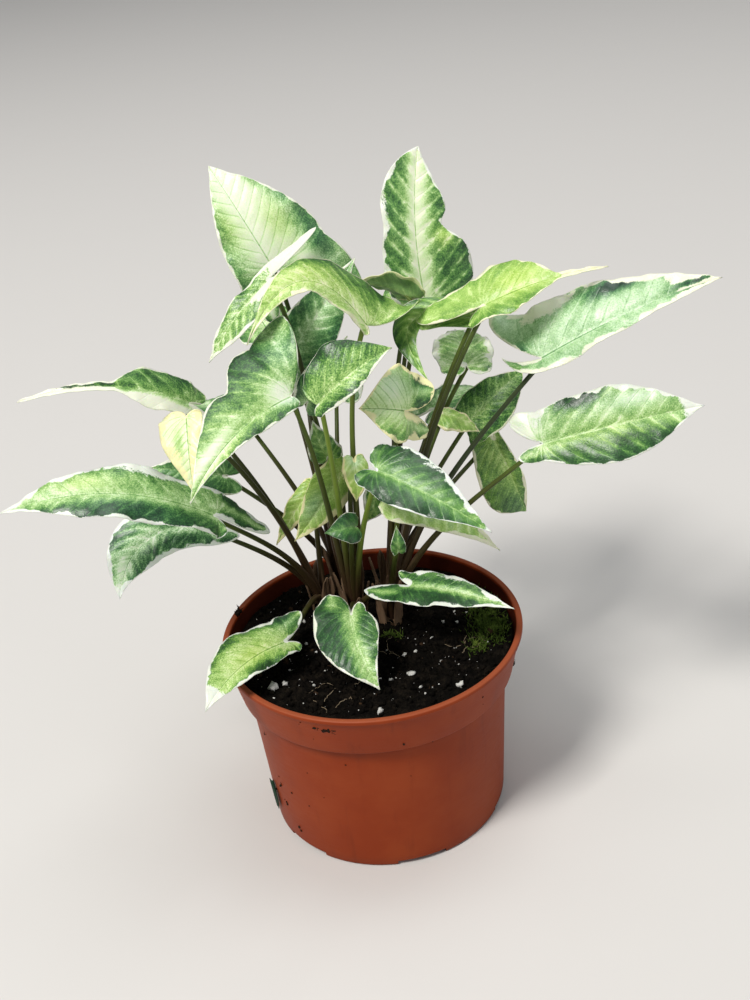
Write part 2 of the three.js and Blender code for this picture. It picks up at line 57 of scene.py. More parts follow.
Triple = tuple[float, float, float]
Pair = tuple[float, float]
Array = np.ndarray
Draw = np.random.Generator
Faces = list[list[int]]
Grids = dict[str, Array]
Material = bpy.types.Material
Object = bpy.types.Object


class Slot(Enum):
    """The material slots that the record names."""

    POT = "pot_plastic"
    SOIL = "potting_soil"
    STALK = "leaf_stalk"
    BLADE = "leaf_blade"


# -------- vectors


def unit(vectors: Array) -> Array:
    """Vectors scaled to length one."""
    return vectors / np.maximum(np.linalg.norm(vectors, axis=-1, keepdims=True), 1e-12)


def turned(vectors: Array, axes: Array, angles: Array) -> Array:
    """Vectors turned about unit axes.

    Args:
        vectors: Rows of x, y, z.
        axes: One unit axis a row, or one for all.
        angles: Radians, one a row.

    Returns:
        The turned rows.
    """
    cos = np.cos(angles)[..., None]
    sin = np.sin(angles)[..., None]
    dot = (axes * vectors).sum(-1, keepdims=True)
    return vectors * cos + np.cross(axes, vectors) * sin + axes * dot * (1 - cos)


def smooth(low: float, high: float, value: Array) -> Array:
    """A soft step from 0 at low to 1 at high, which may lie either way round."""
    share = np.clip((value - low) / (high - low), 0, 1)
    return share * share * (3 - 2 * share)


# The length in millimetres, the turn and the height of each wave in an uneven one.
WAVES = ((6.3, 1.0, 0.55), (2.9, 2.3, 0.3), (1.37, 3.1, 0.15))
# Stands for an angle of nothing where one divides by it.
STRAIGHT = 1e-6


def wobble(place: Array, seed: float) -> Array:
    """An uneven wave of height about 1 along a length in millimetres.

    Args:
        place: Places along it.
        seed: Tells one wave from another.

    Returns:
        Its height at each place.
    """
    return sum(height * np.sin(place / length + turn * seed) for length, turn, height in WAVES)


def round_angles(count: int) -> Array:
    """Angles in radians, even round a circle."""
    return np.arange(count) * 2 * np.pi / count


# -------- meshes


class Piece:
    """A mesh being gathered: points, faces and named values that its points carry."""

    def __init__(self) -> None:
        """Starts empty."""
        self.points: list[Array] = []
        self.faces: Faces = []
        self.values: dict[str, list[Array]] = {}
        self.count = 0

    def add(self, points: Array, faces: Faces, **values: Array) -> None:
        """Adds a part.

        Args:
            points: Rows of x, y, z in millimetres.
            faces: Corner numbers within this part.
            values: For each attribute, a row of three numbers a point.
        """
        points = np.asarray(points, float).reshape(-1, 3)
        self.points.append(points)
        self.faces.extend([[corner + self.count for corner in face] for face in faces])
        for name, rows in values.items():
            self.values.setdefault(name, []).append(np.broadcast_to(rows, points.shape))
        self.count += len(points)

    def build(self, name: str, slot: Slot, material: Material,
              replaced: Sequence[str] = ()) -> Object:
        """Makes the Blender object and ties it to the frame.

        Args:
            name: The piece's name.
            slot: The record's slot for it; not used.
            material: Its material.
            replaced: The solids that it stands for.

        Returns:
            The object, at the origin, riding on the body.
        """
        mesh = bpy.data.meshes.new(name)
        mesh.from_pydata((np.concatenate(self.points) * MM).tolist(), [], self.faces)
        for label, rows in self.values.items():
            layer = mesh.attributes.new(label, "FLOAT_VECTOR", "POINT")
            layer.data.foreach_set("vector", np.concatenate(rows).astype(np.float32).ravel())
        mesh.polygons.foreach_set("use_smooth", [True] * len(mesh.polygons))
        mesh.materials.append(material)
        mesh.validate()
        piece = bpy.data.objects.new(name, mesh)
        return tied(piece, replaced)


def linked(thing: Object) -> Object:
    """Puts an object in the scene."""
    bpy.context.scene.collection.objects.link(thing)
    return thing


def tied(piece: Object, replaced: Sequence[str]) -> Object:
    """Links a piece, rides it on the body and hides the solids that it replaces.

    Args:
        piece: The object.
        replaced: The solids that it stands for.

    Returns:
        The same object.
    """
    if not piece.users_collection:
        linked(piece)
    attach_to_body(piece, BODY)
    if replaced:
        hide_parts(*replaced)
    LOG.info("%s: %d faces", piece.name, len(piece.data.polygons))
    return piece


def grid_faces(rows: int, columns: int, start: int = 0, closed: bool = False) -> Faces:
    """The four-sided faces of a grid of points.

    Args:
        rows: Number of rows.
        columns: Points in a row.
        start: The first point's number.
        closed: Whether each row's last point joins its first.

    Returns:
        Faces that turn from columns to rows.
    """
    faces = []
    for i in range(rows - 1):
        for j in range(columns if closed else columns - 1):
            a = start + i * columns + j
            b = start + i * columns + (j + 1) % columns
            faces.append([a, b, b + columns, a + columns])
    return faces


def point_normals(points: Array, faces: Faces) -> Array:
    """The unit normal at each point of a sheet, from its faces' corners.

    Args:
        points: Rows of x, y, z.
        faces: Corner numbers, three or four a face.

    Returns:
        One row a point.
    """
    normals = np.zeros_like(points)
    quads = np.array([face if len(face) == 4 else [*face, face[2]] for face in faces])
    first = points[quads[:, 2]] - points[quads[:, 0]]
    second = points[quads[:, 3]] - points[quads[:, 1]]
    across = np.cross(first, second)
    for corner in range(4):
        np.add.at(normals, quads[:, corner], across)
    return unit(normals)


def open_edges(faces: Faces) -> list[tuple[int, int]]:
    """The edges that only one face uses, in that face's direction."""
    edges = {(a, b) for face in faces for a, b in zip(face, [*face[1:], face[0]])}
    return sorted((a, b) for a, b in edges if (b, a) not in edges)


# -------- the leaves


class Patch(NamedTuple):
    """A soft patch of other colour on a blade.

    The place is a share of the length, below 0 in a lobe, and a share of the half width, below 0
    on the left. The tone rises towards white, cream towards the border's colour and warm towards
    yellow.
    """

    along: float
    across: float
    length: float
    width: float
    tone: float = 0.0
    cream: float = 0.0
    warm: float = 0.0


@dataclass(frozen=True)
class Paint:
    """How a blade is coloured. Pairs are left and right; tones run from 0, dark, to 1, white."""

    centre: float = 0.62
    body: Pair = (0.34, 0.34)
    edge: Pair = (0.2, 0.2)
    reach: float = 0.5
    lobe: Pair = (0.3, 0.3)
    border: Pair = (0.8, 0.8)
    warm: float = 0.45
    cream: float = 0.25
    mottle: float = 0.55
    veins: float = 0.5
    tip: float = 0.0
    patches: tuple[Patch, ...] = ()


@dataclass(frozen=True)
class Leaf:
    """One blade, in millimetres and degrees. Pairs are left and right of the upper face.

    attach and tip are the midrib's ends, face the way the upper face looks, width the half widths,
    lobe the lengths of the basal lobes and belly the widest place. arch and sweep are the midrib's
    rise and side bend, fold and curl the slope of each half and its change by the edge, lift the
    lobes' bend and drip the length and half width of a narrow tip.
    """

    name: str
    plantlet: str
    attach: Triple
    tip: Triple
    face: Triple
    width: Pair
    paint: Paint
    lobe: Pair = (8, 8)
    belly: float = 0.22
    arch: float = 3
    sweep: float = 0
    fold: Pair = (12, 12)
    curl: Pair = (-20, -20)
    lift: Pair = (0, 0)
    point: float = 0.45
    drip: Pair = (0, 0)
    wave: Pair = (0.8, 2.5)
    notch: Triple = (0, 0, 0)
    base: Pair = (0.85, 0.85)
    spread: Pair = (0.55, 0.55)
    taper: Pair = (1.7, 1.7)
    lean: Triple | None = None


@dataclass
class BladeShape:
    """The fine surface of one blade."""

    leaf: Leaf
    seed: float
    rows: int = 60
    columns: int = 14
    lobe_rows: int = 16
    small_rows: int = 26
    small_columns: int = 8
    small_lobe_rows: int = 7
    small_size: float = 36
    thickness: float = 0.42
    edge_thickness: float = 0.22
    rib_depth: float = 0.75
    rib_width: float = 0.95
    groove: float = 0.3
    quilt: float = 0.34
    notch_spread: float = 0.09
    wave_shift: float = 0.3
    ruffle: float = 0.32
    ruffle_length: float = 8.5
    ragged: float = 0.022
    tip_start: float = 0.93
    tip_crowding: float = 1.12
    quilt_width: float = 16
    ruffle_width: float = 12
    vein_slope: float = 0.7
    vein_bend: float = 0.42
    vein_count: float = 8.5
    least_spacing: float = 3.4
    fan_count: float = 2.6
    vein_shift: float = 0.37
    base_points: Array = field(init=False)

    def __post_init__(self) -> None:
        """Works out the blade's own axes."""
        leaf = self.leaf
        self.base_points = np.array(leaf.attach, float)
        reach = np.array(leaf.tip, float) - self.base_points
        self.length = float(np.linalg.norm(reach))
        self.along = reach / self.length
        up = np.array(leaf.face, float)
        self.up = unit(up - up.dot(self.along) * self.along)
        self.across = np.cross(self.along, self.up)
        if self.length + max(leaf.lobe) + max(leaf.width) < self.small_size:
            self.rows = self.small_rows
            self.columns = self.small_columns
            self.lobe_rows = self.small_lobe_rows
        self.spacing = max(self.length / self.vein_count, self.least_spacing)

    def midrib(self, t: Array) -> tuple[Array, ...]:
        """The midrib's course.

        Args:
            t: Shares of its length.

        Returns:
            Points, tangents, normals and cross directions, one row a share.
        """
        leaf = self.leaf
        bulge = (4 * t * (1 - t))[:, None]
        slope = (4 * (1 - 2 * t))[:, None]
        point = self.base_points + self.along * (self.length * t)[:, None]
        point = point + self.up * leaf.arch * bulge + self.across * leaf.sweep * bulge
        tangent = unit(self.along * self.length + self.up * leaf.arch * slope
                       + self.across * leaf.sweep * slope)
        normal = unit(self.up - tangent * (tangent @ self.up)[:, None])
        return point, tangent, normal, np.cross(tangent, normal)

    def lobe_frame(self, side: int, v: Array) -> tuple[Array, ...]:
        """The middle line of a basal lobe.

        Args:
            side: 0 left, 1 right.
            v: Shares of the way to its end.

        Returns:
            Points, normals and cross directions, one row a share.
        """
        point, tangent, normal, across = (row[0] for row in self.midrib(np.zeros(1)))
        bend = math.radians(self.leaf.lift[side]) or STRAIGHT
        length = self.leaf.lobe[side]
        back = (length * np.sin(bend * v) / bend)[:, None]
        rise = (length * (1 - np.cos(bend * v)) / bend)[:, None]
        normals = turned(np.tile(normal, (len(v), 1)), across, -bend * v)
        return point - tangent * back + normal * rise, normals, np.tile(across, (len(v), 1))

    def half_width(self, side: int, t: Array) -> Array:
        """The half width ahead of the attachment.

        Args:
            side: 0 left, 1 right.
            t: Shares of the length.

        Returns:
            Millimetres.
        """
        leaf = self.leaf
        full = leaf.width[side]
        dent = leaf.notch[1 + side] * np.exp(-(((t - leaf.notch[0]) / self.notch_spread) ** 2))
        rise = np.sin(np.pi / 2 * np.minimum(t / leaf.belly, 1))
        near = full * (1 - dent) * (leaf.base[side] + (1 - leaf.base[side]) * rise)
        u = np.clip((t - leaf.belly) / (1 - leaf.belly - leaf.drip[0]), 0, 1)
        body = full * (1 - dent) * (1 - u ** leaf.taper[side]) * (1 - leaf.point * u ** 3)
        drip = leaf.drip[1] * np.sqrt(np.maximum(0, 1 - t))
        return np.where(t < leaf.belly, near, np.cbrt(body ** 3 + drip ** 3))

    def lobe_edges(self, side: int, v: Array) -> tuple[Array, Array]:
        """The edges of a lobe.

        Args:
            side: 0 left, 1 right.
            v: Shares of the way to its end.

        Returns:
            The inner and the outer edge's distances from the midrib's line.
        """
        root = self.leaf.width[side] * self.leaf.base[side]
        middle = root / 2 + (root * self.leaf.spread[side] - root / 2) * v
        half = root / 2 * np.sqrt(np.maximum(0, 1 - v * v))
        return middle - half, middle + half

    def out(self, side: int, frames: tuple[Array, ...], distance: Array, ripple: Array) -> Array:
        """Points on a half blade.

        Args:
            side: 0 left, 1 right.
            frames: Points, normals and cross directions, one a row.
            distance: Distances from the midrib's line, a grid of rows and columns.
            ripple: How far each row's edge is raised.

        Returns:
            A grid of points.
        """
        full = self.leaf.width[side]
        fold = math.radians(self.leaf.fold[side])
        curl = math.radians(self.leaf.curl[side]) or STRAIGHT
        turn = fold + curl * distance / full
        sideways = (np.sin(turn) - math.sin(fold)) * full / curl
        rise = (math.cos(fold) - np.cos(turn)) * full / curl
        rise = rise + ripple[:, None] * (distance / full) ** 2
        point, normal, across = (rows[:, None, :] for rows in frames)
        hand = -1 if side == 0 else 1
        return point + across * (hand * sideways)[..., None] + normal * rise[..., None]

    def edge_wave(self, side: int, t: Array) -> Array:
        """The rise of the edge's slow waves."""
        height, count = self.leaf.wave
        return height * np.sin(2 * np.pi * (count * t + self.wave_shift * side))

    def vein_map(self, side: int, along: Array, distance: Array) -> Array:
        """Where points lie among the side veins.

        Args:
            side: 0 left, 1 right.
            along: Millimetres ahead of the attachment.
            distance: Millimetres out from the midrib's line.

        Returns:
            Rows of the vein's number, the millimetres from one vein to the next, and the
            millimetres along the vein. A vein runs at each whole number.
        """
        bend = self.vein_bend * distance ** 2 / max(self.leaf.width[side], 1)
        start = along - self.vein_slope * distance - bend
        first = math.atan2(1, self.vein_slope)
        angle = np.arctan2(distance, along - bend + 1e-9)
        radius = np.hypot(along, distance)
        ahead = start > 0
        number = np.where(ahead, start / self.spacing, (first - angle) * self.fan_count)
        pitch = np.where(ahead, self.spacing * 0.8, np.maximum(radius / self.fan_count, 0.3))
        number = number + (self.vein_shift if side else 0)
        return np.stack([number, np.minimum(pitch, self.spacing * 0.8 + 2), radius], -1)

    def relief(self, side: int, along: Array, distance: Array, share: Array) -> Array:
        """How far the surface stands proud: quilted between the veins, ruffled at the edge.

        Args:
            side: 0 left, 1 right.
            along: Millimetres ahead of the attachment.
            distance: Millimetres out from the midrib's line.
            share: Share of the way to the outer edge.

        Returns:
            Millimetres.
        """
        veins = self.vein_map(side, along, distance)
        full = self.leaf.width[side]
        between = np.abs(np.sin(np.pi * veins[..., 0])) ** 0.8
        inside = smooth(0.02, 0.2, share) * smooth(1.0, 0.7, share)
        height = self.quilt * min(1, full / self.quilt_width) * between * inside
        slope = 2 * np.pi * along / self.ruffle_length + self.seed + 1.7 * side
        ruffle = self.ruffle * min(1, full / self.ruffle_width) * share ** 3 * np.sin(slope)
        ruffle = ruffle + 0.4 * self.ruffle * share ** 3 * np.sin(1.83 * slope + 1)
        sunk = self.groove * np.exp(-((distance / 1.1) ** 2)) * smooth(self.length, 0, along)
        return height + ruffle - sunk * (along >= 0)

    def colours(self, side: int, along: Array, distance: Array, share: Array,
                edge: Array) -> Grids:
        """The values that the blade's material reads.

        Args:
            side: 0 left, 1 right.
            along: Millimetres ahead of the attachment, below 0 in a lobe.
            distance: Millimetres out from the midrib's line.
            share: Share of the way from the inner edge or midrib to the outer edge.
            edge: Millimetres in from the nearest edge.

        Returns:
            Grids of three numbers for each attribute.
        """
        paint = self.leaf.paint
        full = self.leaf.width[side]
        hand = -1 if side == 0 else 1
        t = along / self.length
        spread = distance / full
        body = paint.body[side]
        tone = paint.centre + (body - paint.centre) * smooth(0.06, paint.reach + 0.1, spread)
        outward = 0.4 * spread + 0.6 * share
        tone = tone + (paint.edge[side] - body) * smooth(0.5, 0.98, outward)
        lobe = paint.lobe[side] + (paint.centre - paint.lobe[side]) * smooth(
            0.35, 0.0, np.abs(share - 0.5))
        tone = tone + (lobe - tone) * smooth(0.0, -5.0, along)
        cream = np.zeros_like(tone)
        if paint.tip:
            cream = smooth(1 - paint.tip - 0.08, 1 - paint.tip + 0.08, t)
        warm = np.full_like(tone, paint.warm)
        for patch in paint.patches:
            centre = self.length if patch.along >= 0 else max(self.leaf.lobe[side], 1)
            beside = (along - patch.along * centre) / patch.length
            outward = (hand * distance - patch.across * full) / patch.width
            weight = np.exp(-(beside ** 2) - outward ** 2)
            tone = tone + weight * patch.tone
            cream = cream + weight * patch.cream
            warm = warm + weight * patch.warm
        zero = np.zeros_like(tone)
        return {
            "vein_map": self.vein_map(side, along, distance),
            "leaf_place": np.stack([along, hand * distance, edge / paint.border[side]], -1),
            "leaf_tone": np.stack([tone, cream, warm], -1),
            "leaf_style": np.stack([paint.mottle + zero, paint.cream + zero, zero], -1),
            "leaf_size": np.stack([t, self.seed * 7.3 + zero, paint.veins + zero], -1),
        }

    def rib(self, distance: Array, along: Array) -> Array:
        """The blade's thickness, which swells under the midrib.

        Args:
            distance: Millimetres out from the midrib's line.
            along: Millimetres ahead of the attachment.

        Returns:
            Millimetres.
        """
        share = np.clip(1 - along / self.length, 0, 1) ** 0.7
        near = np.exp(-((distance / self.rib_width) ** 2)) * share
        return self.thickness + self.rib_depth * near * smooth(-2.5, 0.5, along)

    def half_rows(self, side: int) -> tuple[Grids, Grids]:
        """The grids of one half: from its base to near its tip, and down its lobe.

        Args:
            side: 0 left, 1 right.

        Returns:
            The two grids' values.
        """
        leaf = self.leaf
        shares = np.linspace(0, 1, self.columns + 1)
        shares = shares + 0.1 * shares * (1 - shares)
        t = 1 - (1 - np.arange(self.rows) / self.rows) ** self.tip_crowding
        point, _, normal, across = self.midrib(t)
        wide = self.half_width(side, t)
        uneven = self.ragged * wobble(t * self.length, self.seed + side)
        wide = wide * (1 + uneven * (t < self.tip_start))
        distance = wide[:, None] * shares
        along = np.repeat((t * self.length)[:, None], self.columns + 1, 1)
        edge = np.minimum((wide[:, None] - distance) * 0.9, np.hypot(along, distance))
        edge = np.minimum(edge, (self.length - along) * 0.7)
        blade = self.half_grid(side, (point, normal, across), distance, along,
                               np.broadcast_to(shares, distance.shape), edge,
                               self.edge_wave(side, t))
        v = np.sin(np.pi / 2 * np.arange(1, self.lobe_rows + 1) / (self.lobe_rows + 0.6))
        inner, outer = self.lobe_edges(side, v)
        back = v * leaf.lobe[side]
        outer = outer * (1 + self.ragged * wobble(-back, self.seed + side))
        distance = inner[:, None] + (outer - inner)[:, None] * shares
        along = np.repeat(-back[:, None], self.columns + 1, 1)
        edge = np.minimum(outer[:, None] - distance, distance - inner[:, None])
        edge = np.minimum(edge, (leaf.lobe[side] - back)[:, None] + 0.2)
        lobe = self.half_grid(side, self.lobe_frame(side, v), distance, along,
                              np.broadcast_to(shares, distance.shape), edge,
                              self.edge_wave(side, -self.wave_shift * v))
        return blade, lobe

    def half_grid(self, side: int, frames: tuple[Array, ...], distance: Array,
                  along: Array, share: Array, edge: Array, wave: Array) -> Grids:
        """The points of a grid with the values that they carry.

        Args:
            side: 0 left, 1 right.
            frames: Points, normals and cross directions, one a row.
            distance: Millimetres out from the midrib's line.
            along: Millimetres ahead of the attachment.
            share: Share of the way to the outer edge.
            edge: Millimetres in from the nearest edge.
            wave: How far each row's edge is raised.

        Returns:
            Points, depths and the values of each attribute.
        """
        points = self.out(side, frames, distance, wave)
        height = self.relief(side, along, distance, share)
        points = points + frames[1][:, None, :] * height[..., None]
        depth = self.rib(distance, along) * smooth(-0.3, 1.2, edge)
        depth = np.maximum(depth, self.edge_thickness)
        return {"points": points, "depth": depth,
                **self.colours(side, along, distance, share, edge)}

    def ends(self) -> tuple[Grids, list[Grids]]:
        """The tip's point and each lobe's last point, with their values.

        Returns:
            The tip's values, and those of the left and the right lobe's end.
        """
        one = np.ones(1)
        point, _, normal, across = self.midrib(one)
        nil = np.zeros((1, 1))
        tip = self.half_grid(0, (point, normal, across), nil, nil + self.length, nil, nil,
                             np.zeros(1))
        lobes = []
        for side in (0, 1):
            inner = self.lobe_edges(side, one)[0][:, None]
            length = nil - self.leaf.lobe[side]
            lobes.append(self.half_grid(side, self.lobe_frame(side, one), inner, length,
                                        nil + 0.5, nil, np.zeros(1)))
        return tip, lobes

    def piece(self) -> Piece:
        """The whole blade: its upper face, its underside and the edge between them.

        Returns:
            The gathered mesh.
        """
        halves = [self.half_rows(side) for side in (0, 1)]
        tip, lobe_ends = self.ends()
        parts: dict[str, list[Array]] = {}
        for label in tip:
            left, right = (half[0][label] for half in halves)
            core = np.concatenate([left[:, :0:-1], right], 1)
            rows = [core, tip[label]]
            rows += [item for side in (0, 1)
                     for item in (halves[side][1][label], lobe_ends[side][label])]
            width = 1 if label == "depth" else 3
            parts[label] = np.concatenate([row.reshape(-1, width) for row in rows])
        faces = self.faces()
        top = parts.pop("points")
        depth = parts.pop("depth")
        normals = point_normals(top, faces)
        under = top - normals * depth
        count = len(top)
        below = [[corner + count for corner in reversed(face)] for face in faces]
        walls = [[b, a, a + count, b + count] for a, b in open_edges(faces)]
        values = {label: np.concatenate([rows, rows]) for label, rows in parts.items()}
        values["leaf_style"][count:, 2] = 1
        piece = Piece()
        piece.add(np.concatenate([top, under]), [*faces, *below, *walls], **values)
        return piece

    def faces(self) -> Faces:
        """The upper sheet's faces.

        Returns:
            Corner numbers.
        """
        columns = self.columns
        wide = 2 * columns + 1
        faces = grid_faces(self.rows, wide)
        tip = self.rows * wide
        last = tip - wide
        faces += [[last + j, last + j + 1, tip] for j in range(wide - 1)]
        start = tip + 1
        for side in (0, 1):
            hand = -1 if side == 0 else 1
            root = [columns + hand * j for j in range(columns + 1)]
            rows = [root] + [[start + k * (columns + 1) + j for j in range(columns + 1)]
                             for k in range(self.lobe_rows)]
            end = start + self.lobe_rows * (columns + 1)
            for near, far in zip(rows, rows[1:]):
                for j in range(columns):
                    face = [near[j], near[j + 1], far[j + 1], far[j]]
                    faces.append(face if side == 0 else face[::-1])
            for j in range(columns):
                face = [rows[-1][j], rows[-1][j + 1], end]
                faces.append(face if side == 0 else face[::-1])
            start = end + 1
        return faces


# How far a blade's greens go towards yellow.
WARM = 0.8
COOL = 0.15

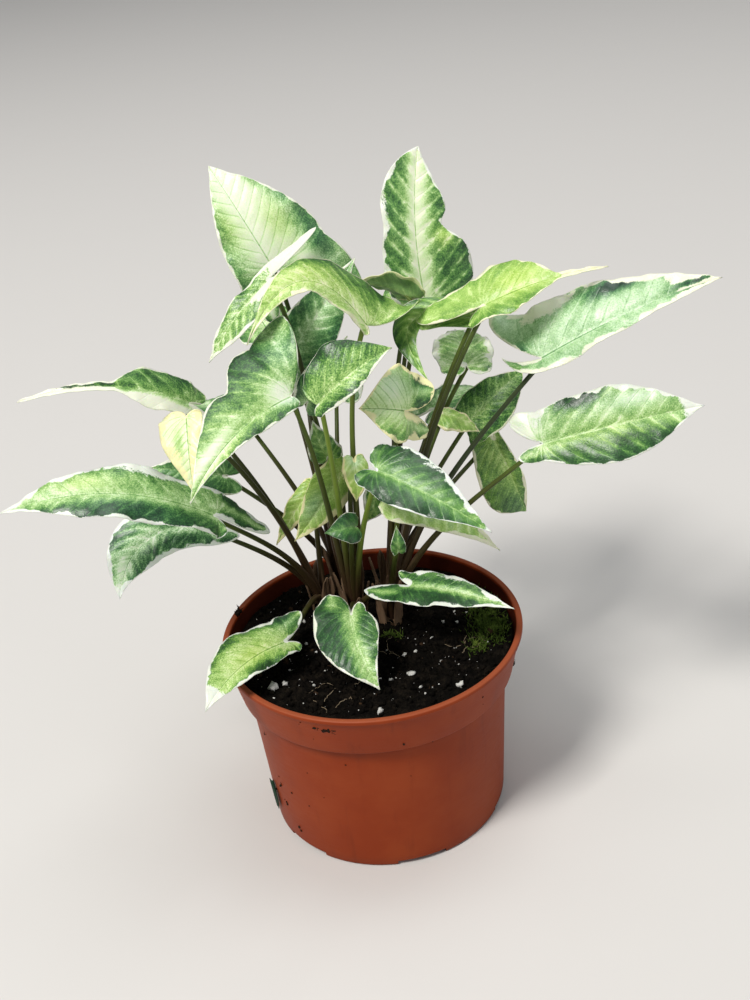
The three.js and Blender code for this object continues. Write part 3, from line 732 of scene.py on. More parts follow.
LEAVES: tuple[Leaf, ...] = (
    Leaf("upper_left", "back_left", (-21, 35, 223), (-40, 52, 258), (0.1, -0.9, 0.4), (14, 23),
         Paint(0.98, (0.7, 0.88), (0.44, 0.42), reach=0.6, lobe=(0.36, 0.54), border=(0.9, 0.6),
         warm=0.3, mottle=0.6, veins=0.1, patches=(Patch(0.45, -0.5, 9, 5, -0.1, warm=0.3),
         Patch(0.3, 0.45, 10, 6, -0.14, warm=0.35), Patch(0.0, 0.85, 12, 4, -0.26, warm=-0.2),
         Patch(0.55, 0.75, 9, 4, 0.1, warm=-0.35), Patch(-0.3, -0.7, 6, 5, -0.2))), (18, 25),
         base=(1, 1), belly=0.1, spread=(0.7, 1), taper=(1.9, 1.65), point=0.3),
    Leaf("upper_centre", "back_right", (35, 42, 200), (38, 58, 255), (0.1, -0.95, 0.3), (13.6, 21),
         Paint(0.9, (0.38, 0.32), (0.24, 0.18), reach=0.3, lobe=(0.4, 0.28), border=(1.7, 0.8),
         cream=0.15, veins=1.0, patches=(Patch(0.9, 0.3, 6, 4, cream=0.6),
         Patch(0.42, 0.5, 5, 4, 0.35, warm=0.4), Patch(0.6, -0.9, 14, 2.5, cream=0.5))), (10, 12),
         belly=0.2, sweep=-3, spread=(1, 0.7), taper=(6, 1.4), point=0.05, notch=(0.5, 0.1, 0.36)),
    Leaf("arching", "front", (11.5, 5.5, 207), (-30, -19, 214), (0, -0.5, 0.85), (7, 17),
         Paint(0.64, (0.62, 0.42), (0.8, 0.22), reach=0.6, lobe=(0.5, 0.52), border=(1.9, 0.3),
         warm=0.74, cream=0.6, mottle=0.6, patches=(Patch(0.5, 0.2, 14, 5, 0.1, warm=0.2),
         Patch(0.65, 0.9, 20, 4, -0.2, warm=-0.35), Patch(0.05, 0.0, 5, 5, 0.2))), (2, 14.5),
         arch=14, sweep=12.5, base=(0.7, 1.1), lift=(0, 105), spread=(0.5, 1.16), fold=(8, 10),
         taper=(1.7, 0.7)),
    Leaf("left_strip", "centre", (-22, 20, 223), (-47, 9, 198), (-0.3, -0.6, 0.6), (8, 5),
         Paint(0.5, (0.4, 0.4), (0.3, 0.3), lobe=(0.5, 0.84), border=(1.0, 0.7), warm=0.55,
         mottle=0.75, patches=(Patch(-0.5, 0.4, 12, 6, 0.3, cream=1.1),
         Patch(-0.9, 0.3, 12, 8, 0.3, cream=1.1))), (3, 27), base=(0.7, 1), belly=0.4,
         spread=(0.5, 0.4)),
    Leaf("front_left", "front", (-18, -9, 189.5), (-54, -50, 173), (0, -0.6, 0.8), (7, 25.5),
         Paint(0.56, (0.3, 0.28), (0.1, 0.0), reach=0.6, lobe=(0.34, 0.38), border=(0.6, 0.5),
         warm=0.55, mottle=0.6, patches=(Patch(0.04, 0.1, 6, 6, 0.5, warm=-0.35),
         Patch(-0.5, 0.7, 9, 9, 0.06, warm=-0.42), Patch(-0.6, 0.1, 4, 4, -0.3, warm=-0.3),
         Patch(0.7, 0.1, 16, 2.4, 0.5, warm=-0.2), Patch(0.7, -0.6, 14, 3, 0.12, warm=0.3),
         Patch(0.78, 0.7, 9, 3, -0.2))), (0.5, 19.5), base=(0.7, 1), belly=0.1, spread=(0.5, 1),
         sweep=4, taper=(1.7, 0.9), lift=(0, 58), notch=(0.3, 0, 0.26)),
    Leaf("front_oval", "front", (-9, -20, 190), (19, -13, 205), (-0.2, -0.8, 0.6), (14, 6.5),
         Paint(0.5, (0.32, 0.26), (0.0, 0.0), reach=0.7, lobe=(0.18, 0.1), border=(0.1, 0.8),
         warm=0.62, mottle=0.7, veins=0.15, patches=(Patch(0.8, -0.3, 6, 6, -0.12),)), (1, 3),
         base=(0.6, 0.7), belly=0.42, arch=5, taper=(1.7, 1.2)),
    Leaf("left_long", "left", (-57, 14, 181), (-116, 0, 195), (0, -0.5, 0.85), (8, 10.8),
         Paint(0.5, (0.74, 0.3), (0.9, 0.2), lobe=(0.56, 0.4), border=(2.2, 0.6), warm=0.5,
         cream=0.3, mottle=0.7, tip=0.5, patches=(Patch(0.3, -0.7, 13, 4.2, 0.5, cream=1.0),
         Patch(0.6, 0.1, 16, 1.2, -0.5, cream=-0.9, warm=0.2))), arch=10, drip=(0.5, 3)),
    Leaf("left_hanging", "left", (-57, -2, 183), (-57, -18, 160), (0, -0.9, 0.4), (6, 12),
         Paint(0.9, (1.0, 0.96), (1.0, 0.96), lobe=(0.9, 0.9), border=(3.6, 3.6), warm=0.6,
         cream=0.9, mottle=0.3, veins=0.1, patches=(Patch(0.35, 0.3, 5, 2, -0.3),
         Patch(0.6, 0.5, 8, 5, cream=0.6), Patch(0.2, -0.5, 6, 4, cream=0.6))), (2, 4), belly=0.1,
         base=(1, 1), fold=(20, -15)),
    Leaf("low_left", "left", (-53, -5, 143), (-128, -15, 159), (0, -0.5, 0.85), (11, 12),
         Paint(0.66, (0.26, 0.5), (0.06, 0.4), reach=0.4, lobe=(0.24, 0.1), border=(1.0, 1.5),
         warm=0.4, cream=0.1, veins=0.25, tip=0.02, patches=(Patch(0.3, 0.85, 16, 2.6, cream=0.75),
         Patch(0.62, 0.4, 12, 3.5, 0.2, warm=0.35), Patch(0.4, -0.6, 20, 4, -0.12, warm=-0.25))),
         (5, 29), belly=0.45, arch=15, wave=(1.8, 2.5), spread=(0.5, 0.3)),
    Leaf("low_left_hanging", "left", (-63, 16, 128), (-96, 0, 108), (-0.2, -0.8, 0.5), (10, 12.5),
         Paint(0.5, (0.26, 0.3), (0.26, 0.26), reach=0.4, lobe=(0.2, 0.22), border=(1.5, 1.3),
         warm=COOL, cream=0.05, mottle=0.8, patches=(Patch(0.75, 0.2, 7, 4, 0.4),
         Patch(0.3, -0.3, 8, 4, 0.1))), sweep=9, lobe=(16, 8), belly=0.5),
    Leaf("back_left", "back_left", (-52, 36, 138), (-81, 35, 146), (0, -0.8, 0.5), (9, 9),
         Paint(0.35, (0.16, 0.16), (0.1, 0.1), warm=0.3, mottle=0.4)),
    Leaf("upper_right", "right", (54, 12, 207), (99, 10, 217), (0, -0.4, 0.9), (16, 9),
         Paint(0.62, (0.54, 0.42), (0.5, 0.36), reach=0.6, lobe=(0.5, 0.32), border=(0.9, 0.6),
         warm=WARM, cream=0.55, mottle=0.35, veins=0.25, tip=0.36,
         patches=(Patch(0.3, -0.3, 9, 5, 0.12, warm=0.25),)), (26, 8), lift=(0, -30),
         drip=(0.35, 2.5)),
    Leaf("hooked", "right", (51, 20, 200), (32, 8, 181), (-0.2, -0.6, 0.8), (6, 7),
         Paint(0.5, (0.42, 0.3), (0.46, 0.22), border=(0.1, 0.1), warm=0.75, mottle=0.35,
         patches=(Patch(0.75, 0.5, 8, 6, -0.2),)), (3, 3), sweep=19, base=(0.8, 0.8),
         taper=(2.5, 2.5)),
    Leaf("right_pale", "right", (73, 5, 187), (137, 0, 212), (-0.3, -0.6, 0.8), (20, 7),
         Paint(0.7, (0.66, 0.64), (0.6, 0.62), lobe=(0.7, 0.6), border=(1.7, 1.4), warm=0.1,
         cream=0.35, mottle=0.4, veins=0.2, tip=0.26, patches=(Patch(0.5, -0.62, 10, 3, -0.9),
         Patch(0.85, -0.1, 8, 1.3, -0.7, cream=-1.2), Patch(0.12, -0.85, 14, 4, cream=0.8),
         Patch(-0.45, -0.35, 3, 3, -0.55), Patch(-0.7, 0.6, 6, 5, -0.2, warm=0.5))), (14, 17),
         base=(1, 0.9), belly=0.1, spread=(1.15, -0.2), point=0, wave=(1.2, 3), arch=4,
         lift=(0, 100)),
    Leaf("right_under", "back_right", (48, 34, 175), (48, 78, 172), (0, 0.2, 1), (12, 12),
         Paint(0.6, (0.5, 0.5), (0.72, 0.72), border=(2, 2), warm=0.5)),
    Leaf("right_middle", "right", (71, -2, 156), (129, -10, 168), (-0.1, -0.8, 0.6), (15, 14),
         Paint(0.56, (0.54, 0.18), (0.44, 0.08), reach=0.4, lobe=(0.84, 0.24), border=(1.8, 0.6),
         warm=0.48, cream=0.12, mottle=0.5, tip=0.12,
         patches=(Patch(-0.4, -0.6, 10, 8, 0.3, cream=0.5, warm=-0.3),
         Patch(0.28, -0.85, 8, 3.5, -0.7), Patch(0.62, -0.55, 16, 4, 0.3, cream=0.35, warm=-0.4),
         Patch(0.4, 0.3, 20, 4, warm=0.35))), (11, 10), base=(0.8, 0.5), belly=0.45,
         spread=(0.9, 0.5), lift=(-20, 0)),
    Leaf("right_down", "back_right", (58, 42, 138), (70, 44, 101), (0, -0.9, 0.3), (5, 14),
         Paint(0.56, (0.38, 0.38), (0.28, 0.26), warm=0.8, cream=0.5, mottle=0.5, veins=0.1,
         patches=(Patch(0.85, 0.2, 8, 6, -0.25, warm=-0.4),)), base=(0.6, 0.7), belly=0.5,
         taper=(1.7, 4)),
    Leaf("right_back", "back_right", (48, 38, 149), (74, 60, 159), (0.1, -0.7, 0.7), (9, 12),
         Paint(0.46, (0.24, 0.26), (0.16, 0.16), border=(0.4, 0.5), warm=0.6, cream=0.5,
         mottle=0.7, veins=0.2), (5, 5)),
    Leaf("right_small", "right", (37, 29, 158), (51, 27, 149), (0, -0.6, 0.8), (3, 7),
         Paint(0.6, (0.5, 0.5), (0.5, 0.55), warm=WARM, cream=0.8, mottle=0.3), (2, 3)),
    Leaf("curled", "right", (22, -8, 178), (5, -14, 184), (0, -0.8, 0.5), (12, 17),
         Paint(0.74, (0.5, 0.72), (0.4, 0.6), reach=0.6, lobe=(0.3, 0.14), border=(2.2, 2.0),
         warm=0.6, cream=0.9, mottle=0.4, veins=0.25,
         patches=(Patch(-0.5, 0.6, 8, 5, -0.2, warm=-0.3),
         Patch(-0.5, -0.5, 8, 6, -0.12, warm=-0.1), Patch(0.4, 0.5, 7, 6, 0.14, warm=-0.4))),
         (14, 12), lift=(0, 60)),
    Leaf("front_right", "front", (9, -22, 163), (46, -45, 146), (0, -0.6, 0.8), (13, 10),
         Paint(0.4, (0.16, 0.1), (0.02, 0.0), reach=0.4, lobe=(0.1, 0.1), border=(1.5, 0.4),
         warm=0.5, cream=0.05, mottle=0.3, veins=0.3, tip=0.05,
         patches=(Patch(0.5, -0.75, 14, 2, cream=0.5),)), (6, 6), taper=(1.3, 1.7)),
    Leaf("under_right", "right", (19, -5, 148), (50, -30, 129), (0, -0.5, 0.85), (6, 17),
         Paint(0.6, (0.5, 0.6), (0.6, 0.7), border=(1.2, 1.3), warm=WARM, cream=0.5, mottle=0.4,
         tip=0.14), (2, 2), base=(0.9, 0.9), belly=0.1, taper=(1.7, 1.2)),
    Leaf("front_yellow", "centre", (-4, 15, 145), (-26, 10, 119), (0, -1, 0.1), (8, 9),
         Paint(0.6, (0.5, 0.56), (0.56, 0.56), border=(1.6, 0.8), warm=1.0, cream=0.9, mottle=0.35,
         veins=0.15, patches=(Patch(0.5, 0.3, 8, 4, warm=-0.7),
         Patch(0.0, -0.3, 7, 6, cream=0.45))), (6, 5)),
    Leaf("inner_yellow", "front", (1, 4, 155), (0, 0, 139), (0.2, -0.9, 0.3), (5, 5),
         Paint(0.62, (0.58, 0.6), (0.6, 0.6), warm=1.0, cream=1, mottle=0.2,
         patches=(Patch(-0.2, 0, 4, 4, warm=-0.8),)), (2, 2)),
    # Painted shade: this blade faces forward but is coloured dark for the shaded underside that
    # shows here.
    Leaf("inner_upper", "centre", (-9, 14, 152), (-13, 15, 168), (-0.1, -0.9, 0.2), (6, 7),
         Paint(0.4, (0.24, 0.24), (0.16, 0.16), warm=0.6, mottle=0.4), (2, 2),
         lean=(0, -0.9, 0.45)),
    Leaf("inner_dark", "front", (-1, -8, 133), (-13, -12, 134), (0, -0.8, 0.5), (6, 6),
         Paint(0.3, (0.12, 0.12), (0.06, 0.06), border=(0.12, 0.12), warm=0.4, mottle=0.3,
         veins=0.1), (2, 2)),
    Leaf("inner_green", "centre", (8, 22, 131), (3, 19, 119), (0.2, -0.9, 0.3), (6, 5),
         Paint(0.4, (0.24, 0.24), (0.2, 0.2), warm=0.7, mottle=0.4), (2, 2)),
    Leaf("inner_young", "right", (14, -3, 117), (14, 0, 127), (0, -0.9, 0.3), (3, 3),
         Paint(0.3, (0.16, 0.16), (0.1, 0.1), border=(0.12, 0.12), warm=0.5, mottle=0.3), (2, 2)),
    Leaf("behind_yellow", "left", (-17, 34, 130), (-35, 29, 107), (-0.3, -0.8, 0.4), (5, 5),
         Paint(0.6, (0.5, 0.5), (0.5, 0.5), warm=0.95, cream=1, mottle=0.3), (2, 2)),
    Leaf("shaded", "centre", (-20, 30, 187), (10, 37, 222), (0, -0.9, 0.3), (10, 12),
         Paint(0.6, (0.3, 0.34), (0.2, 0.2), warm=0.2, mottle=0.5), (6, 10)),
    Leaf("behind_oval", "centre", (-14, 14, 176), (4, 20, 198), (0, -0.8, 0.5), (7, 7),
         Paint(0.4, (0.18, 0.18), (0.12, 0.12), warm=0.3, mottle=0.4), (4, 4)),
    Leaf("behind_centre", "back_right", (30, 33, 205), (8, 30, 214), (0, 0.8, 0.6), (9, 4),
         Paint(0.4, (0.24, 0.2), (0.3, 0.2), border=(1.2, 0.6), warm=0.7, cream=0.9, mottle=0.4,
         tip=0.2), (3, 2)),
    Leaf("low_right", "front", (16, -10, 106), (54, -30, 103), (0, -0.4, 0.9), (7, 9),
         Paint(0.58, (0.22, 0.12), (0.3, 0.08), reach=0.3, lobe=(0.06, 0.1), border=(1.8, 1.0),
         warm=0.5, cream=0.1, mottle=0.5, veins=0.1, tip=0.06,
         patches=(Patch(0.45, -0.8, 12, 1.8, cream=0.6), Patch(0.5, 0.5, 12, 3, -0.08))), (6, 18),
         base=(0.8, 1), spread=(0.9, 0.45)),
    Leaf("low_front", "front", (-6.8, -17.5, 100.7), (1.1, -43.3, 83), (0, -0.7, 0.7), (9.5, 15),
         Paint(0.62, (0.24, 0.12), (0.22, 0.04), reach=0.36, lobe=(0.22, 0.16), border=(0.6, 0.9),
         warm=0.5, mottle=0.5, veins=0.08, tip=0.05,
         patches=(Patch(0.3, 0.6, 7, 4, -0.04, warm=-0.1),)), (5, 10), base=(0.6, 0.95),
         spread=(0.6, 0.5), sweep=2),
    Leaf("over_rim", "left", (-33, -14, 89), (-63, -50, 87), (0, -0.4, 0.9), (8, 13.4),
         Paint(0.72, (0.54, 0.56), (0.14, 0.18), reach=0.7, border=(0.9, 1.0), warm=0.75,
         cream=0.15, mottle=0.75, veins=0.1, tip=0.2,
         patches=(Patch(0.35, 0.1, 9, 4, 0.08, warm=0.25), Patch(-0.4, 0.7, 8, 6, -0.2, warm=-0.5),
         Patch(0.4, -0.7, 10, 3, -0.2))), sweep=3, lobe=(4, 15), belly=0.35, spread=(0.5, 0.95),
         lift=(0, 15)),
    Leaf("rear_upper_left", "back_left", (-28, 60, 189), (-36, 98, 174), (-0.2, 0.3, 0.9),
         (14, 13),
         Paint(0.74, (0.44, 0.5), (0.24, 0.3)), (10, 11), arch=6),
    Leaf("rear_upper_right", "back_right", (32, 72, 192), (44, 108, 186), (0.2, 0.2, 0.9),
         (14, 14),
         Paint(0.78, (0.56, 0.42), (0.32, 0.2), warm=0.6,
         patches=(Patch(0.5, -0.5, 9, 5, 0.15, warm=0.2),)), (11, 10), arch=6),
    Leaf("rear_left", "back_left", (-44, 68, 150), (-78, 92, 140), (-0.2, 0.3, 0.9), (13, 13),
         Paint(0.6, (0.34, 0.3), (0.2, 0.22), border=(1.2, 1.0), warm=0.3, cream=0.1, mottle=0.7),
         (10, 10), arch=5),
    Leaf("rear", "back_left", (-4, 80, 152), (-2, 122, 146), (0, 0.3, 0.9), (15, 14),
         Paint(0.8, (0.5, 0.4), (0.22, 0.26), border=(1.0, 1.4), warm=0.5, tip=0.08,
         patches=(Patch(0.4, 0.6, 9, 5, 0.2),)), (11, 12), arch=6),
    Leaf("rear_right", "back_right", (36, 76, 138), (66, 102, 130), (0.2, 0.3, 0.9), (13, 13),
         Paint(0.64, (0.3, 0.38), (0.2, 0.2), border=(0.9, 1.3), warm=0.35, mottle=0.7), (9, 10),
         arch=5),
)

PLANTLETS: dict[str, Pair] = {
    "left": (-19, 25),
    "front": (-6, 12.5),
    "centre": (-7, 26),
    "right": (8, 9.5),
    "back_left": (-10, 38.5),
    "back_right": (9, 27.5),
}


# -------- finishes

Socket = bpy.types.NodeSocket
Value = Socket | float
Colour = tuple[float, float, float]


class Nodes:
    """Short calls that add and link shader nodes in one material."""

    def __init__(self, name: str) -> None:
        """Starts a material with a Principled shader.

        Args:
            name: The material's name.
        """
        self.material = bpy.data.materials.new(name)
        self.material.use_nodes = True
        self.tree = self.material.node_tree
        self.shader = self.tree.nodes["Principled BSDF"]

    def put(self, socket: Socket, value: Value | Sequence[float]) -> None:
        """Links a socket, or sets its own value.

        Args:
            socket: The input.
            value: An output to link, or a number, vector or colour.
        """
        if isinstance(value, Socket):
            self.tree.links.new(value, socket)
        elif isinstance(value, tuple) and len(value) == 3 and socket.type == "RGBA":
            socket.default_value = (*value, 1)
        else:
            socket.default_value = value

    def add(self, kind: str, *values: Value, **settings: str) -> Socket:
        """Adds a node.

        Args:
            kind: Blender's name for it, without its first part.
            values: What its first inputs take.
            settings: The node's own settings.

        Returns:
            Its first output.
        """
        node = self.tree.nodes.new(f"ShaderNode{kind}")
        for name, setting in settings.items():
            setattr(node, name, setting)
        for socket, value in zip(node.inputs, values):
            self.put(socket, value)
        return node.outputs[0]

    def maths(self, operation: str, *values: Value) -> Socket:
        """The result of a Math node."""
        return self.add("Math", *values, operation=operation)

    def times(self, first: Value, second: Value) -> Socket:
        """The product of two values."""
        return self.maths("MULTIPLY", first, second)

    def total(self, *values: Value) -> Socket:
        """The sum of several values.

        Args:
            values: What is added up.

        Returns:
            The output.
        """
        result = values[0]
        for value in values[1:]:
            result = self.maths("ADD", result, value)
        return result

    def centred(self, value: Socket, amount: Value) -> Socket:
        """A noise value moved to lie round 0 and scaled."""
        return self.times(self.maths("SUBTRACT", value, 0.5), amount)

    def step(self, value: Value, low: float, high: float,
             first: float = 0.0, last: float = 1.0) -> Socket:
        """A soft step of a value from first at low to last at high."""
        return self.add("MapRange", value, low, high, first, last,
                        interpolation_type="SMOOTHSTEP")

    def join(self, x: Value, y: Value, z: Value) -> Socket:
        """A vector from three numbers."""
        return self.add("CombineXYZ", x, y, z)

    def attribute(self, name: str) -> tuple[Socket, ...]:
        """The three numbers of a mesh attribute.

        Args:
            name: The attribute's name.

        Returns:
            An output for each number.
        """
        node = self.tree.nodes.new("ShaderNodeAttribute")
        node.attribute_name = name
        return self.split(node.outputs["Vector"])

    def split(self, vector: Socket) -> tuple[Socket, ...]:
        """The three numbers of a vector.

        Args:
            vector: The vector.

        Returns:
            An output for each number.
        """
        node = self.tree.nodes.new("ShaderNodeSeparateXYZ")
        self.put(node.inputs[0], vector)
        return tuple(node.outputs)

    def place(self, scale: Triple = (1, 1, 1)) -> Socket:
        """The surface's place in the object's frame, in millimetres, stretched by a scale.

        Args:
            scale: How far each axis is stretched.

        Returns:
            The output.
        """
        node = self.tree.nodes.new("ShaderNodeTexCoord")
        mapping = self.tree.nodes.new("ShaderNodeMapping")
        mapping.inputs["Scale"].default_value = [share / MM for share in scale]
        self.put(mapping.inputs["Vector"], node.outputs["Object"])
        return mapping.outputs[0]

    def noise(self, vector: Socket, scale: float, detail: float = 3.0,
              roughness: float = 0.5) -> Socket:
        """Smooth noise from 0 to 1.

        Args:
            vector: Where it is read.
            scale: How fine it is.
            detail: How many finer layers it has.
            roughness: How strong those are.

        Returns:
            The output.
        """
        node = self.tree.nodes.new("ShaderNodeTexNoise")
        self.put(node.inputs["Vector"], vector)
        node.inputs["Scale"].default_value = scale
        node.inputs["Detail"].default_value = detail
        node.inputs["Roughness"].default_value = roughness
        return node.outputs[0]

    def cells(self, vector: Socket, scale: float) -> Socket:
        """Distances from the edges in a pattern of cells.

        Args:
            vector: Where they are read.
            scale: How fine they are.

        Returns:
            The output.
        """
        node = self.tree.nodes.new("ShaderNodeTexVoronoi")
        node.feature = "DISTANCE_TO_EDGE"
        self.put(node.inputs["Vector"], vector)
        node.inputs["Scale"].default_value = scale
        return node.outputs["Distance"]

    def ramp(self, value: Socket, stops: Sequence[tuple[float, Colour]]) -> Socket:
        """A colour from a row of stops.

        Args:
            value: What picks the colour.
            stops: Positions with their colours.

        Returns:
            The output.
        """
        node = self.tree.nodes.new("ShaderNodeValToRGB")
        elements = node.color_ramp.elements
        while len(elements) < len(stops):
            elements.new(0.5)
        for element, (position, colour) in zip(elements, stops):
            element.position = position
            element.color = (*colour, 1)
        self.put(node.inputs[0], value)
        return node.outputs[0]

    def blend(self, share: Value, first: Socket | Colour,
              second: Socket | Colour) -> Socket:
        """One colour going over to another.

        Args:
            share: 0 for the first, 1 for the second.
            first: A colour.
            second: The other.

        Returns:
            The output.
        """
        node = self.tree.nodes.new("ShaderNodeMix")
        node.data_type = "RGBA"
        self.put(node.inputs[0], share)
        self.put(node.inputs[6], first)
        self.put(node.inputs[7], second)
        return node.outputs[2]

    def finish(self, colour: Socket, roughness: Value, height: Socket,
               depth: float, strength: float, specular: float = 0.5,
               subsurface: float = 0.0) -> Material:
        """Closes the material.

        Args:
            colour: The base colour.
            roughness: The roughness.
            height: The relief, from 0 to about 1.
            depth: What a height of 1 stands for, in millimetres.
            strength: How strongly the relief shows.
            specular: The specular level.
            subsurface: How much light spreads below the surface.

        Returns:
            The material.
        """
        bump = self.tree.nodes.new("ShaderNodeBump")
        bump.inputs["Strength"].default_value = strength
        bump.inputs["Distance"].default_value = depth * MM
        self.put(bump.inputs["Height"], height)
        self.put(self.shader.inputs["Base Color"], colour)
        self.put(self.shader.inputs["Roughness"], roughness)
        self.put(self.shader.inputs["Normal"], bump.outputs[0])
        self.shader.inputs["Specular IOR Level"].default_value = specular
        if subsurface:
            self.shader.inputs["Subsurface Weight"].default_value = subsurface
            self.shader.inputs["Subsurface Radius"].default_value = (0.6, 1.0, 0.3)
            self.shader.inputs["Subsurface Scale"].default_value = MM
        return self.material


@dataclass(frozen=True)
class BladeFinish:
    """Variegated leaf skin: marbled greens, pale veins and a ragged pale border.

    feather, blot and speckle are marks: how fine each is and how far it shifts the tone.
    """

    cool: tuple[tuple[float, Colour], ...] = (
        (0.0, (0.010, 0.042, 0.024)), (0.2, (0.026, 0.105, 0.045)), (0.42, (0.095, 0.26, 0.10)),
        (0.62, (0.30, 0.52, 0.26)), (0.8, (0.58, 0.78, 0.52)), (1.0, (0.82, 0.90, 0.78)))
    warm: tuple[tuple[float, Colour], ...] = (
        (0.0, (0.018, 0.055, 0.010)), (0.2, (0.045, 0.14, 0.018)), (0.42, (0.17, 0.35, 0.04)),
        (0.62, (0.38, 0.58, 0.10)), (0.8, (0.62, 0.78, 0.26)), (1.0, (0.85, 0.88, 0.52)))
    white: Colour = (0.80, 0.86, 0.80)
    yellow: Colour = (0.88, 0.84, 0.42)
    underside: Colour = (0.16, 0.27, 0.11)
    roughness: float = 0.36
    relief: float = 0.35
    feather: Pair = (0.42, 1.05)
    blot: Pair = (0.15, 1.25)
    speckle: Pair = (1.9, 1.75)
    plume_rise: float = 0.34
    rib_rise: float = 0.12

    def material(self) -> Material:
        """The one material that all the blades share.

        Returns:
            The material.
        """
        nodes = Nodes("variegated_blade")
        number, pitch, reach = nodes.attribute("vein_map")
        along, across, edge = nodes.attribute("leaf_place")
        tone, cream, warm = nodes.attribute("leaf_tone")
        mottle, creamy, under = nodes.attribute("leaf_style")
        share, seed, veins = nodes.attribute("leaf_size")

        side = nodes.times(nodes.maths("SIGN", across), 40)
        streamed = nodes.join(nodes.total(nodes.times(number, 6), seed, side),
                              nodes.times(reach, 0.5), seed)
        flat = nodes.join(along, across, seed)
        feather = nodes.noise(streamed, self.feather[0], 4, 0.65)
        blot = nodes.noise(flat, self.blot[0], 5, 0.68)
        speckle = nodes.noise(flat, self.speckle[0], 3, 0.65)
        rim = nodes.noise(flat, 0.14, 2, 0.5)
        beside = nodes.times(nodes.maths("PINGPONG", number, 0.5), pitch)
        vein = nodes.step(beside, 0.42, 0.08)
        plume = nodes.step(nodes.total(beside, nodes.centred(speckle, 1.4)), 1.7, 0.1)
        rib_edge = nodes.maths("DIVIDE", nodes.maths("ABSOLUTE", across),
                               nodes.maths("SUBTRACT", 1.35, share))
        ahead = nodes.step(along, -1.5, 0.0)
        rib = nodes.times(nodes.step(rib_edge, 0.75, 0.2), ahead)
        core = nodes.times(nodes.step(rib_edge, 0.34, 0.12), ahead)
        broken = nodes.times(plume, nodes.step(blot, 0.4, 0.6, 0.25, 1))
        inked = nodes.step(tone, 0.5, 0.8)

        open_tone = nodes.step(tone, 0.95, 0.55, 0.25, 1.0)
        stir = nodes.times(mottle, open_tone)
        tone = nodes.total(
            tone,
            nodes.centred(feather, nodes.times(stir, self.feather[1])),
            nodes.centred(blot, nodes.times(stir, self.blot[1])),
            nodes.centred(speckle, nodes.times(stir, self.speckle[1])),
            nodes.times(broken, nodes.times(veins, self.plume_rise)),
            nodes.times(vein, nodes.step(inked, 0, 1, 0.08, -0.16)),
            nodes.times(rib, self.rib_rise),
            nodes.times(core, nodes.step(inked, 0, 1, 0.0, -0.4)))
        colour = nodes.blend(warm, nodes.ramp(tone, self.cool), nodes.ramp(tone, self.warm))
        ragged = nodes.total(edge, nodes.centred(speckle, 0.9), nodes.centred(feather, 0.8))
        width = nodes.step(rim, 0.36, 0.66, 0.12, 1.5)
        border = nodes.step(nodes.maths("DIVIDE", ragged, width), 1.15, 0.75)
        patch = nodes.total(cream, nodes.centred(feather, 0.9), nodes.centred(speckle, 0.4))
        patch = nodes.step(patch, 0.36, 0.56)
        pale = nodes.blend(creamy, self.white, self.yellow)
        colour = nodes.blend(nodes.maths("MAXIMUM", border, patch), colour, pale)
        colour = nodes.blend(nodes.times(under, 0.55), colour, self.underside)

        net = nodes.step(nodes.cells(flat, 0.55), 0.0, 0.14)
        height = nodes.total(
            nodes.times(vein, -0.5), nodes.times(rib, -0.35),
            nodes.times(net, 0.22), nodes.centred(speckle, 0.3))
        gloss = nodes.total(self.roughness, nodes.centred(speckle, 0.18),
                            nodes.times(under, 0.14))
        return nodes.finish(colour, gloss, height, 0.3, self.relief, subsurface=0.12)


@dataclass(frozen=True)
class StalkFinish:
    """Stalk skin: purple-brown sheathed bases going over to olive green, with papery edges."""

    stops: tuple[tuple[float, Colour], ...] = (
        (0.0, (0.058, 0.028, 0.017)), (0.25, (0.054, 0.033, 0.013)), (0.5, (0.044, 0.040, 0.009)),
        (0.78, (0.048, 0.064, 0.011)), (1.0, (0.10, 0.15, 0.024)))
    lime: Colour = (0.20, 0.29, 0.04)
    dark: Colour = (0.03, 0.045, 0.02)
    paper: Colour = (0.42, 0.29, 0.18)

    def material(self) -> Material:
        """The material that all the stalks share.

        Returns:
            The material.
        """
        nodes = Nodes("leaf_stalk_skin")
        share, paper, tint = nodes.attribute("stalk_place")
        length, around, seed = nodes.attribute("stalk_skin")
        streaks = nodes.noise(nodes.join(nodes.times(length, 0.12), around, seed), 1.6, 3, 0.6)
        flecks = nodes.noise(nodes.join(length, around, seed), 1.4, 3, 0.6)
        colour = nodes.ramp(nodes.total(share, nodes.centred(streaks, 0.5)), self.stops)
        colour = nodes.blend(nodes.step(tint, 0.0, 1.0), colour, self.lime)
        colour = nodes.blend(nodes.step(tint, 0.0, -1.0), colour, self.dark)
        brown = nodes.blend(streaks, self.paper, (0.19, 0.10, 0.05))
        colour = nodes.blend(paper, colour, brown)
        colour = nodes.blend(nodes.step(flecks, 0.68, 0.78, 0, 0.5), colour, (0.05, 0.03, 0.02))
        height = nodes.total(streaks, nodes.times(flecks, 0.4))
        gloss = nodes.total(0.4, nodes.centred(flecks, 0.2), nodes.times(paper, 0.3))
        return nodes.finish(colour, gloss, height, 0.35, 0.4, specular=0.25)


